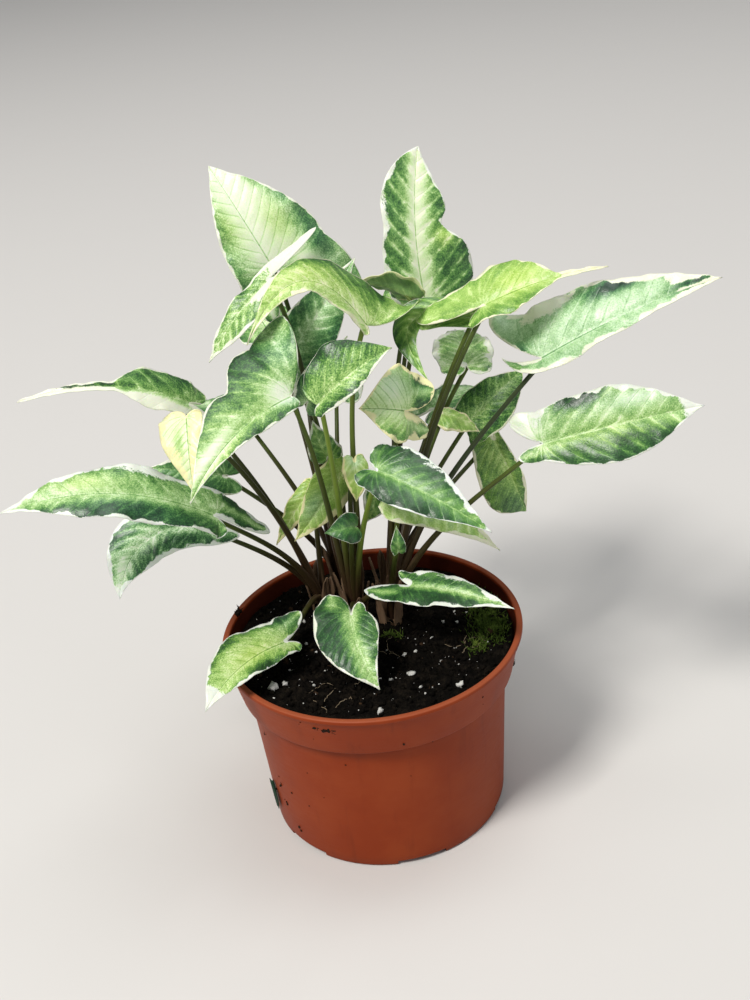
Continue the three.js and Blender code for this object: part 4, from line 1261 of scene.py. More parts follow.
@dataclass(frozen=True)
class PotFinish:
    """Thin moulded plastic in a clay red: semi-matte, with scuffs, dust and specks of soil."""

    clay: Colour = (0.24, 0.031, 0.0035)
    faded: Colour = (0.28, 0.044, 0.008)
    # deep is the dark of the streaks, and of the painted shadow under the collar.
    deep: Colour = (0.11, 0.014, 0.003)
    dirt: Colour = (0.035, 0.02, 0.012)
    # shaded is the painted shade of the collar's inner wall.
    shaded: Colour = (0.035, 0.006, 0.003)
    # A painted highlight along the top of the lip.
    lip_highlight: Colour = (0.36, 0.10, 0.045)
    collar_foot: float = 62.5
    collar_middle: float = 54.55
    collar_slope: float = 0.215
    lip: float = 81.4

    def material(self) -> Material:
        """The pot's material.

        Returns:
            The material.
        """
        nodes = Nodes("clay_red_plastic")
        place = nodes.place()
        parts = nodes.split(place)
        height = parts[2]
        clouds = nodes.noise(place, 0.035, 4, 0.6)
        runs = nodes.noise(nodes.place((1, 1, 0.12)), 0.16, 4, 0.65)
        grain = nodes.noise(place, 2.4, 2, 0.5)
        scuffs = nodes.noise(nodes.place((0.25, 0.25, 1.6)), 0.5, 4, 0.7)
        specks = nodes.noise(place, 0.75, 3, 0.75)
        colour = nodes.blend(nodes.step(clouds, 0.35, 0.7), self.clay, self.faded)
        colour = nodes.blend(nodes.step(runs, 0.52, 0.8, 0, 0.35), colour, self.deep)
        colour = nodes.blend(nodes.step(scuffs, 0.66, 0.8, 0, 0.3), colour, self.faded)
        # Painted shadow: a darker band just under the collar's overhang.
        under = nodes.step(height, self.collar_foot - 4, self.collar_foot, 0, 0.35)
        under = nodes.times(under, nodes.step(height, self.collar_foot + 1, self.collar_foot))
        colour = nodes.blend(under, colour, self.deep)
        # Painted shade: the collar's inner wall is darkened to the shaded colour.
        colour = nodes.blend(self.inside(nodes, parts), colour, self.shaded)
        # Painted highlight: the lip's top is lightened.
        colour = nodes.blend(nodes.step(height, self.lip, self.lip + 0.5, 0, 0.55), colour,
                             self.lip_highlight)
        grime = nodes.total(nodes.step(specks, 0.72, 0.77, 0, 0.8),
                            nodes.times(nodes.step(height, 6, 0, 0, 0.4), runs))
        colour = nodes.blend(grime, colour, self.dirt)
        gloss = nodes.total(0.5, nodes.centred(clouds, 0.2), nodes.centred(scuffs, 0.2))
        relief = nodes.total(nodes.times(grain, 0.3), nodes.centred(scuffs, 0.5),
                             nodes.centred(clouds, 1.2))
        return nodes.finish(colour, gloss, relief, 0.25, 0.3, specular=0.16)

    def inside(self, nodes: Nodes, parts: tuple[Socket, ...]) -> Socket:
        """How far a point is on the collar's inner wall, which is painted in shade.

        Args:
            nodes: The material's nodes.
            parts: The surface's place, to the right, back and up.

        Returns:
            From 0, elsewhere, to 1.
        """
        across, deep, height = parts
        radius = nodes.maths("SQRT", nodes.total(nodes.times(across, across),
                                                 nodes.times(deep, deep)))
        above = nodes.maths("SUBTRACT", height, self.collar_foot)
        middle = nodes.total(nodes.times(above, self.collar_slope), self.collar_middle)
        inner = nodes.step(nodes.maths("SUBTRACT", radius, middle), 0.3, -0.3)
        level = nodes.times(nodes.step(height, self.lip, self.lip - 1, 0, 0.85),
                            nodes.step(height, self.collar_foot + 0.9, self.collar_foot + 1.4))
        return nodes.times(inner, level)


@dataclass(frozen=True)
class EarthFinish:
    """A broken, matte stuff from the ground, in three shades."""

    name: str
    shades: tuple[Colour, Colour, Colour]
    grain: float = 0.6
    roughness: float = 0.95
    depth: float = 0.8

    def material(self) -> Material:
        """The material of these shades.

        Returns:
            The material.
        """
        nodes = Nodes(self.name)
        place = nodes.place()
        coarse = nodes.noise(place, self.grain * 0.3, 4, 0.7)
        fine = nodes.noise(place, self.grain * 2.2, 3, 0.7)
        mixed = nodes.total(nodes.times(coarse, 0.6), nodes.times(fine, 0.4))
        first, middle, last = self.shades
        colour = nodes.ramp(mixed, ((0.3, first), (0.5, middle), (0.72, last)))
        gloss = nodes.total(self.roughness, nodes.centred(fine, 0.2))
        return nodes.finish(colour, gloss, nodes.total(coarse, fine), self.depth, 0.7,
                            specular=0.06)


# -------- stalks


def tube(path: Array, radii: Array, sides: int,
         reference: Array) -> tuple[Array, Faces, Array]:
    """A closed tube along a path.

    Args:
        path: Its centre points.
        radii: A radius for each point and side.
        sides: Points round it.
        reference: A direction that its first side faces.

    Returns:
        Points, faces, and the angle of each point round the tube.
    """
    tangent = unit(np.gradient(path, axis=0))
    first = unit(reference - tangent * (tangent @ reference)[:, None])
    second = np.cross(tangent, first)
    angle = round_angles(sides)
    ring = (first[:, None, :] * np.cos(angle)[None, :, None]
            + second[:, None, :] * np.sin(angle)[None, :, None])
    points = path[:, None, :] + ring * radii[..., None]
    faces = grid_faces(len(path), sides, closed=True)
    last = (len(path) - 1) * sides
    faces.append(list(range(sides))[::-1])
    faces.append([last + k for k in range(sides)])
    return points.reshape(-1, 3), faces, np.tile(angle, len(path))


def thick_sheet(points: Array, thickness: float) -> tuple[Array, Faces]:
    """A closed thin solid from a grid of points, with its faces.

    Args:
        points: A grid of points on its upper side.
        thickness: How thick it is.

    Returns:
        Points and faces.
    """
    rows, columns = points.shape[:2]
    faces = grid_faces(rows, columns)
    top = points.reshape(-1, 3)
    under = top - point_normals(top, faces) * thickness
    count = len(top)
    walls = [[b, a, a + count, b + count] for a, b in open_edges(faces)]
    below = [[corner + count for corner in reversed(face)] for face in faces]
    return np.concatenate([top, under]), [*faces, *below, *walls]


@dataclass
class Stalks:
    """The stalks of one plantlet with its crown and the papery sheaths round it.

    runout is how a stalk goes on under the midrib: the share of the blade's length, the depth
    below it and the radius.
    """

    name: str
    leaves: list[BladeShape]
    seed: int
    tip_radius: float = 0.88
    base_radius: float = 1.75
    root_height: float = 76.0
    crown_radius: float = 4.4
    crown_bottom: float = 64.0
    crown_top: float = 80.0
    least_rise: float = 20
    rise: float = 0.38
    approach: float = 0.3
    outward_lean: float = 0.25
    bow: float = 0.075
    steps: int = 44
    sides: int = 14
    wing: float = 0.75
    wing_angle: float = 0.62
    wing_end: float = 0.42
    sheaths: int = 4
    sheath_height: Pair = (12, 24)
    sheath_rows: int = 12
    sheath_columns: int = 7
    sheath_thickness: float = 0.3
    crown_rows: int = 10
    crown_sides: int = 18
    seat_depth: float = 1.8
    runout: tuple[Triple, ...] = ((0.035, 1.55, 0.74), (0.07, 1.3, 0.6), (0.11, 1.1, 0.45),
                                  (0.16, 0.95, 0.25))
    ridge_spread: float = 0.3
    groove_depth: float = 0.3
    groove_spread: float = 0.45
    tints: dict[str, float] = field(default_factory=lambda: {
        "front_left": 0.35, "arching": 0.5, "front_oval": 0.85, "right_pale": -0.75,
        "right_middle": 0.15, "upper_right": -0.3, "low_right": 0.1, "under_right": 0.3,
        "front_right": 0.7, "left_long": -0.2})

    def path(self, blade: BladeShape) -> tuple[Array, Array, Array]:
        """A stalk's course.

        Args:
            blade: The blade that it carries.

        Returns:
            Its centre line, its radii and the direction outward from the plant.
        """
        leaf = blade.leaf
        x, y = PLANTLETS[self.name]
        point, _, normal, _ = (row[0] for row in blade.midrib(np.zeros(1)))
        root = np.array([x, y, self.root_height])
        reach = point - root
        span = float(np.linalg.norm(reach))
        outward = unit(np.array([reach[0], reach[1], 0.0]))
        lean = unit(reach) + self.outward_lean * outward
        if leaf.lean:
            lean = np.array(leaf.lean, float)
        lean = unit(lean)
        seat = point - normal * self.seat_depth
        lower = root + np.array([0, 0, max(self.rise * span, self.least_rise)])
        lower = lower + outward * self.bow * span
        upper = seat - lean * self.approach * span
        u = np.linspace(0, 1, self.steps)[:, None]
        line = (root * (1 - u) ** 3 + lower * 3 * u * (1 - u) ** 2 + upper * 3 * u ** 2 * (1 - u)
                + seat * u ** 3)
        radii = self.tip_radius + (self.base_radius - self.tip_radius) * (1 - u[:, 0]) ** 2
        radii = radii * (1 + 0.1 * smooth(0.9, 1.0, u[:, 0]))
        along, under, thin = np.array(self.runout).T
        ends, _, normals, _ = blade.midrib(along)
        line = np.concatenate([line, ends - normals * under[:, None]])
        radii = np.concatenate([radii, thin])
        return line, radii, outward

    def build(self, material: Material) -> Object:
        """Makes the plantlet's stalks in one piece.

        Args:
            material: The stalks' material.

        Returns:
            The object.
        """
        piece = Piece()
        draw = np.random.default_rng(self.seed)
        for blade in self.leaves:
            self.add_stalk(piece, blade)
        self.add_crown(piece)
        for index in range(self.sheaths):
            turn = 2 * math.pi * (index + 0.5 * draw.random()) / self.sheaths
            self.add_sheath(piece, draw, turn)
        return piece.build(f"stalks_{self.name}", Slot.STALK, material, [f"stems_{self.name}"])

    def add_stalk(self, piece: Piece, blade: BladeShape) -> None:
        """Adds a stalk whose lower part is a sheath with two raised edges.

        Args:
            piece: The mesh being gathered.
            blade: The blade that it carries.
        """
        line, radii, outward = self.path(blade)
        share = np.minimum(np.linspace(0, 1 + len(self.runout) / self.steps, len(line)), 1)
        wing = self.wing * smooth(self.wing_end, 0.1, share)
        angle = round_angles(self.sides)
        angle = np.minimum(angle, 2 * np.pi - angle)
        ridge = np.exp(-(((angle - self.wing_angle) / self.ridge_spread) ** 2))
        groove = self.groove_depth * np.exp(-((angle / self.groove_spread) ** 2))
        grid = radii[:, None] * (1 + wing[:, None] * (0.6 * ridge - groove))
        points, faces, around = tube(line, grid, self.sides, -outward)
        steps = np.linalg.norm(np.diff(line, axis=0), axis=1)
        length = np.concatenate([[0], np.cumsum(steps)])
        zero = np.zeros(len(points))
        paper = (wing[:, None] / self.wing * ridge * 0.75).ravel()
        tint = self.tints.get(blade.leaf.name, 0.0)
        tinted = tint * smooth(0.1, 0.6, np.repeat(share, self.sides))
        piece.add(points, faces,
                  stalk_place=np.stack([np.repeat(share, self.sides), paper, tinted], -1),
                  stalk_skin=np.stack([np.repeat(length, self.sides),
                                       2 * np.cos(around), zero + blade.seed * 5], -1))

    def add_crown(self, piece: Piece) -> None:
        """Adds the short stem that the stalks grow from, domed and knobbly.

        Args:
            piece: The mesh being gathered.
        """
        x, y = PLANTLETS[self.name]
        heights = np.linspace(self.crown_bottom, self.crown_top, self.crown_rows)
        dome = np.sqrt(np.clip((self.crown_top + 1.5 - heights) / 7, 0, 1))
        rows = np.ones(self.crown_rows)
        path = np.stack([x * rows, y * rows, heights], -1)
        angle = round_angles(self.crown_sides)
        knobs = 1 + 0.07 * np.sin(3 * angle + self.seed) * rows[:, None]
        knobs = knobs + 0.05 * np.sin(heights * 1.9)[:, None]
        points, faces, _ = tube(path, (self.crown_radius - 0.3) * dome[:, None] * knobs,
                                self.crown_sides, np.array([1.0, 0, 0]))
        piece.add(points, faces, stalk_place=np.array([0.0, 0.55, 0.0]),
                  stalk_skin=np.roll(points, 1, 1))

    def add_sheath(self, piece: Piece, draw: Draw, turn: float) -> None:
        """Adds a dry, curved sheath that stands against the crown and narrows to a torn tip.

        Args:
            piece: The mesh being gathered.
            draw: The source of its shape.
            turn: Where it stands round the crown, in radians.
        """
        x, y = PLANTLETS[self.name]
        height = draw.uniform(*self.sheath_height)
        t = np.linspace(0, 1, self.sheath_rows)[:, None]
        across = np.linspace(-1, 1, self.sheath_columns)[None, :]
        wide = 0.5 * np.sqrt(1 - t ** 3) + 0.03
        radius = self.crown_radius + 0.3 + 0.12 * height * t ** 1.6
        angle = turn + across * wide * self.crown_radius / radius + 0.25 * t * draw.uniform(-1, 1)
        rough = 0.35 * np.sin(9 * t + 5 * across + turn)
        points = np.stack([x + (radius + rough) * np.cos(angle),
                           y + (radius + rough) * np.sin(angle),
                           self.root_height + height * t + 0 * angle], -1)
        points, faces = thick_sheet(points, self.sheath_thickness)
        piece.add(points, faces, stalk_place=np.array([0.05, 0.55, 0.0]),
                  stalk_skin=np.roll(points, 1, 1))


# -------- soil


@dataclass
class Soil:
    """The potting soil with its crumbs, perlite, moss and fine roots."""

    middle: Pair = (-2, 18)
    edge_height: float = 77.0
    back_fall: float = 0.045
    crown_rise: float = 1.0
    crown_spread: float = 26
    lump_height: float = 0.7
    radius: float = 55.8
    skirt: tuple[Pair, ...] = ((66.0, 53.8), (65.5, 50.0), (3.9, 46.5))
    rings: int = 130
    sides: int = 420
    crumbs: int = 3600
    grits: int = 330
    bark_every: int = 28
    sown_roots: int = 9
    root_steps: int = 14
    root_radius: float = 0.12
    seed: int = 7

    def height(self, x: Array, y: Array) -> Array:
        """The height of the soil's broad surface.

        Args:
            x: Places to the right.
            y: Places to the back.

        Returns:
            Millimetres.
        """
        away = np.hypot(x - self.middle[0], y - self.middle[1])
        rise = self.crown_rise * np.exp(-((away / self.crown_spread) ** 2))
        lumps = np.sin(0.21 * x + 1.3) * np.cos(0.17 * y) + 0.6 * np.sin(0.43 * y - 0.29 * x)
        return self.edge_height - self.back_fall * y + rise + self.lump_height * lumps

    def clods(self, x: float, y: float) -> float:
        """The small broken relief on top of it.

        Args:
            x: A place to the right.
            y: A place to the back.

        Returns:
            Millimetres.
        """
        coarse = noise.fractal(Vector((x * 0.16, y * 0.16, 1.7)), 0.9, 2.1, 4)
        fine = noise.noise(Vector((x * 1.3, y * 1.3, 4.0)))
        lumps = abs(noise.noise(Vector((x * 0.55, y * 0.55, 9))))
        return 1.3 * coarse + 0.6 * fine + 1.0 * lumps

    def top(self, x: float, y: float) -> float:
        """The height of the visible surface."""
        return float(self.height(np.array(x), np.array(y))) + self.clods(x, y)

    def build(self) -> None:
        """Makes the fill and everything that lies on it."""
        peat = EarthFinish("black_peat", ((0.001, 0.0008, 0.0006), (0.004, 0.0032, 0.0024),
                                          (0.024, 0.018, 0.012)), 0.9).material()
        self.fill(peat)
        self.scatter(peat)
        self.perlite()
        self.moss()
        self.roots()

    def fill(self, material: Material) -> None:
        """The body of soil: a broken top on a plain plug.

        Args:
            material: The peat.
        """
        radius = self.radius * np.linspace(0.0005, 1, self.rings) ** 0.75
        angle = round_angles(self.sides)
        x = radius[:, None] * np.cos(angle)
        y = radius[:, None] * np.sin(angle)
        small = np.vectorize(self.clods)(x, y)
        small = small * smooth(self.radius, self.radius - 1.5, radius)[:, None]
        top = np.stack([x, y, self.height(x, y) + small], -1).reshape(-1, 3)
        skirt = []
        for z, r in self.skirt:
            level = np.full(self.sides, z)
            skirt.append(np.stack([r * np.cos(angle), r * np.sin(angle), level], -1))
        points = np.concatenate([top, *skirt])
        rows = self.rings + len(self.skirt)
        faces = [face[::-1] for face in grid_faces(rows, self.sides, closed=True)]
        faces.append(list(range(self.sides)))
        faces.append([(rows - 1) * self.sides + k for k in range(self.sides)][::-1])
        piece = Piece()
        piece.add(points, faces)
        piece.build("soil_fill", Slot.SOIL, material, ["soil"])

    def spots(self, draw: Draw, count: int, reach: float) -> list[Pair]:
        """Seeded places on the surface, even over its area.

        Args:
            draw: The source of the places.
            count: How many.
            reach: Their greatest distance from the middle.

        Returns:
            Pairs of x and y.
        """
        radius = reach * np.sqrt(draw.random(count))
        angle = draw.uniform(0, 2 * math.pi, count)
        return list(zip((radius * np.cos(angle)).tolist(), (radius * np.sin(angle)).tolist()))

    def scatter(self, material: Material) -> None:
        """Loose crumbs of peat and bark.

        Args:
            material: The peat.
        """
        draw = np.random.default_rng(self.seed)
        peat, bark = Piece(), Piece()
        for index, (x, y) in enumerate(self.spots(draw, self.crumbs, self.radius - 2)):
            size = 0.28 + 1.05 * draw.random() ** 3.5
            stretch = draw.uniform(0.6, 1.5, 3)
            centre = np.array([x, y, self.top(x, y) + 0.2 * size])
            target = bark if index % self.bark_every == 0 else peat
            target.add(*pebble(centre, size * stretch, draw, 1))
        peat.build("soil_crumbs", Slot.SOIL, material)
        brown = EarthFinish("brown_bark", ((0.012, 0.007, 0.004), (0.035, 0.02, 0.011),
                                           (0.09, 0.055, 0.03))).material()
        bark.build("bark_crumbs", Slot.SOIL, brown)

    def perlite(self) -> None:
        """White grains, a few of them placed and the rest sown."""
        draw = np.random.default_rng(self.seed + 1)
        piece = Piece()
        placed = [(-39.3, -28, 2.1), (-35.1, -26.7, 1.1), (0.2, -52.2, 1.3), (30.9, -41.7, 1.7),
                  (13.5, -30.2, 1.4), (5.4, -32.8, 0.9), (1.3, -31.8, 0.7), (29.1, 3, 0.8),
                  (34.2, 1, 0.6), (25.4, -23.3, 0.6), (-23.8, -30.4, 0.7), (-6.6, -28.5, 0.6)]
        sown = [(x, y, 0.15 + 0.6 * draw.random() ** 5)
                for x, y in self.spots(draw, self.grits, self.radius - 3)]
        for x, y, size in [*placed, *sown]:
            centre = np.array([x, y, self.top(x, y) + 0.35 * size])
            piece.add(*pebble(centre, size * draw.uniform(0.75, 1.15, 3), draw, 1 + (size > 0.5)))
        chalk = EarthFinish("white_perlite", ((0.35, 0.34, 0.31), (0.66, 0.65, 0.61),
                                              (0.84, 0.83, 0.80)), 1.6, 0.85, 0.4).material()
        piece.build("perlite", Slot.SOIL, chalk)

    def moss(self) -> None:
        """Low tufts of moss in two patches."""
        draw = np.random.default_rng(self.seed + 2)
        piece = Piece()
        patches = ((47, -2, 7, 12, 1200), (47, 14, 7, 8, 450), (8, -3, 3.4, 2.4, 190),
                   (41, -17, 4, 4, 160))
        for middle_x, middle_y, wide, deep, count in patches:
            for _ in range(count):
                x = middle_x + wide * draw.normal() * 0.5
                y = middle_y + deep * draw.normal() * 0.5
                if math.hypot(x, y) > self.radius - 0.8:
                    continue
                piece.add(*self.spike(np.array([x, y, self.top(x, y) - 0.3]), draw))
        green = EarthFinish("moss_green", ((0.018, 0.032, 0.006), (0.06, 0.10, 0.016),
                                           (0.20, 0.26, 0.05)), 0.8, 0.9, 0.3).material()
        piece.build("moss_tufts", Slot.SOIL, green)

    @staticmethod
    def spike(foot: Array, draw: Draw) -> tuple[Array, Faces]:
        """One three-sided moss shoot, bent a little.

        Args:
            foot: Where it stands.
            draw: The source of its shape.

        Returns:
            Points and faces.
        """
        length = draw.uniform(1.0, 2.8)
        lean = np.array([draw.normal() * 0.45, draw.normal() * 0.45, 1.0])
        angle = draw.uniform(0, 2 * math.pi) + np.arange(3) * 2 * np.pi / 3
        ring = np.stack([np.cos(angle), np.sin(angle), np.zeros(3)], -1)
        middle = foot + lean * length * 0.5
        tip = foot + lean * length + np.array([lean[0], lean[1], 0]) * 0.5 * length
        points = np.concatenate([foot + ring * 0.28, middle + ring * 0.24, [tip]])
        faces = grid_faces(2, 3, closed=True) + [[2, 1, 0], [3, 4, 6], [4, 5, 6], [5, 3, 6]]
        return points, faces

    def roots(self) -> None:
        """Fine pale roots that lie over the crumbs."""
        draw = np.random.default_rng(self.seed + 3)
        piece = Piece()
        placed = [(-27, -38, 0.4, 16), (-24, -43, -0.3, 14), (-20, -42, 0.9, 12),
                  (-16, -45, 0.2, 10), (27, -12, -0.35, 20), (34, -19, 0.2, 12)]
        sown = [(x, y, draw.uniform(0, 6.3), draw.uniform(6, 16))
                for x, y in self.spots(draw, self.sown_roots, self.radius - 9)]
        for x, y, heading, length in [*placed, *sown]:
            path = []
            for _ in range(self.root_steps):
                path.append((x, y, self.top(x, y) + 0.35 + 0.5 * draw.random()))
                heading += draw.normal() * 0.35
                x += math.cos(heading) * length / self.root_steps
                y += math.sin(heading) * length / self.root_steps
                if math.hypot(x, y) > self.radius - 1.5:
                    break
            if len(path) < 4:
                continue
            line = np.array(path)
            radii = np.full((len(line), 5), self.root_radius)
            points, faces, _ = tube(line, radii, 5, np.array([0.02, 0.03, 1.0]))
            piece.add(points, faces)
        pale = EarthFinish("pale_root", ((0.10, 0.07, 0.04), (0.26, 0.20, 0.13),
                                         (0.50, 0.42, 0.30)), 1.0, 0.8, 0.1).material()
        piece.build("fine_roots", Slot.SOIL, pale)


def pebble(centre: Array, size: Array, draw: Draw, detail: int) -> tuple[Array, Faces]:
    """A small uneven grain.

    Args:
        centre: Its middle.
        size: Its half lengths.
        draw: The source of its shape.
        detail: How finely its faces are split.

    Returns:
        Points and faces.
    """
    points, faces = ball(detail)
    turn = draw.normal(size=(3, 3))
    axes, _ = np.linalg.qr(turn)
    axes = axes * np.linalg.det(axes)
    shift = draw.uniform(0, 9, 3)
    rough = 1 + 0.22 * np.sin(2.3 * points @ axes[0] * 2 + shift[0])
    rough = rough + 0.2 * np.sin(3.9 * points @ axes[1] * 2 + shift[1])
    shaped = (points * rough[:, None] * size) @ axes
    return centre + shaped, faces


BALLS: dict[int, tuple[Array, Faces]] = {}


def ball(detail: int) -> tuple[Array, Faces]:
    """The points and faces of a unit ball of triangles, kept once made.

    Args:
        detail: How often its faces are split.

    Returns:
        Points and faces.
    """
    if detail not in BALLS:
        shape = bmesh.new()
        bmesh.ops.create_icosphere(shape, subdivisions=detail, radius=1)
        points = np.array([list(vertex.co) for vertex in shape.verts])
        faces = [[vertex.index for vertex in face.verts] for face in shape.faces]
        shape.free()
        BALLS[detail] = (points, faces)
    return BALLS[detail]


# -------- pot


@dataclass
class Pot:
    """The thin nursery pot: a rolled lip, a stepped collar, and drain channels under the foot.

    tangle is a few fine roots that stick to its collar, and scrap a bit of leaf on its wall.
    """

    height: float = 82
    rim_radius: float = 60
    lip_thickness: float = 1.8
    lip_overhang: float = 0.9
    collar_depth: float = 19.5
    collar_radius: float = 55.3
    collar_step: float = 0.8
    ledge_rise: float = 0.2
    body_top_radius: float = 52.2
    base_radius: float = 48.4
    wall: float = 1.5
    floor: float = 3.6
    foot_chamfer: float = 0.8
    sides: int = 192
    round_steps: int = 5
    drains: int = 6
    first_drain: float = 42
    channel: Triple = (18.8, 20, 4.4)
    channel_start: float = 34
    slot: Triple = (5, 9, 10.8)
    slot_radius: float = 41
    sharp_angle: float = 32
    least_speck: float = 0.22
    tangle_angle: float = 250
    tangle_height: float = 76
    tangle_radius: float = 0.14
    scrap_angle: float = 199.5
    scrap_foot: float = 9.5
    scrap_height: float = 14
    scrap_width: float = 2.4
    scrap_thickness: float = 0.3
    seed: int = 21

    @property
    def collar_foot(self) -> float:
        """The height where the wall steps out to the collar."""
        return self.height - self.collar_depth

    @property
    def ledge(self) -> float:
        """The height of the step on the inside."""
        return self.collar_foot + self.collar_step + self.wall

    def body_radius(self, z: float) -> float:
        """The wall's outer radius below the collar."""
        return self.base_radius + (self.body_top_radius - self.base_radius) * z / self.collar_foot

    def collar_outside(self, z: float) -> float:
        """The collar's outer radius at a height."""
        widening = self.rim_radius - self.lip_overhang - self.collar_radius
        return self.collar_radius + widening * ((z - self.collar_foot) / self.collar_depth)

    def outer_radius(self, z: float) -> float:
        """The radius of the outside at a height."""
        below = z < self.collar_foot + self.collar_step / 2
        return self.body_radius(z) if below else self.collar_outside(z)

    def inner_radius(self, z: float) -> float:
        """The radius of the inside at a height."""
        outside = self.body_radius(z) if z <= self.ledge else self.collar_outside(z)
        return outside - self.wall

    def profile(self) -> Array:
        """The wall's outline as radius and height, with its corners rounded.

        Returns:
            Rows of radius and height.
        """
        foot = self.collar_foot
        ledge_top = self.ledge + self.ledge_rise
        rim_wall = self.rim_radius - self.lip_overhang
        under_lip = self.height - self.lip_thickness
        corners = [
            (self.base_radius - self.foot_chamfer, 0, 0.3),
            (self.base_radius, self.foot_chamfer, 0.3),
            (self.body_top_radius, foot, 0.5),
            (self.collar_radius, foot + self.collar_step, 0.6),
            (rim_wall, under_lip, 0.5),
            (self.rim_radius, under_lip, 0.35),
            (self.rim_radius, self.height, 0.8),
            (self.inner_radius(self.height), self.height, 0.8),
            (self.inner_radius(ledge_top), ledge_top, 0.6),
            (self.inner_radius(self.ledge), self.ledge, 0.6),
            (self.inner_radius(self.floor), self.floor, 0.8),
        ]
        outline = [(0.4, 0.0)]
        whole = [(0.0, 0.0, 0.0), *corners, (0.0, self.floor, 0.0)]
        for before, corner, after in zip(whole, corners, whole[2:]):
            outline += self.rounded(np.array(before[:2]), np.array(corner[:2]),
                                    np.array(after[:2]), corner[2])
        return np.array([*outline, (0.4, self.floor)])

    def rounded(self, before: Array, corner: Array, after: Array,
                cut: float) -> list[tuple[float, float]]:
        """A rounded corner's points.

        Args:
            before: The outline's point before it.
            corner: The corner.
            after: The point after it.
            cut: How far from the corner the curve starts and ends.

        Returns:
            Pairs of radius and height.
        """
        start = corner + unit(before - corner) * cut
        end = corner + unit(after - corner) * cut
        u = np.linspace(0, 1, self.round_steps)[:, None]
        curve = start * (1 - u) ** 2 + corner * 2 * u * (1 - u) + end * u ** 2
        return [(float(r), float(z)) for r, z in curve]

    def shell(self) -> Object:
        """The turned wall and floor.

        Returns:
            The object.
        """
        outline = self.profile()
        fine = [outline[0]]
        for start, end in zip(outline, outline[1:]):
            pieces = max(1, int(np.linalg.norm(end - start) / 6))
            fine += [start + (end - start) * (k + 1) / pieces for k in range(pieces)]
        outline = np.array(fine)
        angle = round_angles(self.sides)
        rows = len(outline)
        points = np.stack([outline[:, :1] * np.cos(angle), outline[:, :1] * np.sin(angle),
                           np.repeat(outline[:, 1:], self.sides, 1)], -1).reshape(-1, 3)
        faces = grid_faces(rows, self.sides, closed=True)
        faces.append(list(range(self.sides))[::-1])
        faces.append([(rows - 1) * self.sides + k for k in range(self.sides)])
        return self.bare("pot_shell", points, faces)

    @staticmethod
    def bare(name: str, points: Array, faces: Faces) -> Object:
        """An object that holds a plain mesh.

        Args:
            name: Its name.
            points: Rows of x, y, z in millimetres.
            faces: Corner numbers.

        Returns:
            The object.
        """
        mesh = bpy.data.meshes.new(name)
        mesh.from_pydata((points * MM).tolist(), [], faces)
        return linked(bpy.data.objects.new(name, mesh))

    def boxes(self, name: str, size: Triple, middle_radius: float,
              middle_height: float) -> Object:
        """A ring of boxes that cut the drains.

        Args:
            name: Its name.
            size: A box's sides.
            middle_radius: How far out a box's middle is.
            middle_height: How high it is.

        Returns:
            One object that holds them all.
        """
        piece = Piece()
        corners = np.array([(x, y, z) for x in (-0.5, 0.5) for y in (-0.5, 0.5)
                            for z in (-0.5, 0.5)]) * size
        faces = [[0, 1, 3, 2], [4, 6, 7, 5], [0, 4, 5, 1],
                 [2, 3, 7, 6], [0, 2, 6, 4], [1, 5, 7, 3]]
        for index in range(self.drains):
            angle = math.radians(self.first_drain + 360 / self.drains * index)
            moved = corners + np.array([middle_radius, 0, middle_height])
            turn = np.array([[math.cos(angle), math.sin(angle), 0],
                             [-math.sin(angle), math.cos(angle), 0], [0, 0, 1]])
            piece.add(moved @ turn, faces)
        return self.bare(name, np.concatenate(piece.points), piece.faces)

    def build(self) -> None:
        """Makes the pot and the bits of soil and leaf that stick to it."""
        shell = self.shell()
        channel_middle = self.channel_start + self.channel[0] / 2
        cutters = [
            self.boxes("drain_channels", self.channel, channel_middle, 0),
            self.boxes("drain_slots", self.slot, self.slot_radius, self.floor / 2),
        ]
        for cutter in cutters:
            cut = shell.modifiers.new(cutter.name, "BOOLEAN")
            cut.operation = "DIFFERENCE"
            cut.solver = "MANIFOLD"
            cut.object = cutter
        graph = bpy.context.evaluated_depsgraph_get()
        mesh = bpy.data.meshes.new_from_object(shell.evaluated_get(graph))
        mesh.name = "pot_wall"
        mesh.polygons.foreach_set("use_smooth", [True] * len(mesh.polygons))
        mesh.set_sharp_from_angle(angle=math.radians(self.sharp_angle))
        mesh.materials.clear()
        mesh.materials.append(PotFinish().material())
        for spare in (*cutters, shell):
            bpy.data.objects.remove(spare)
        tied(bpy.data.objects.new("pot_wall", mesh), ["pot"])
        self.specks()
        self.scrap()

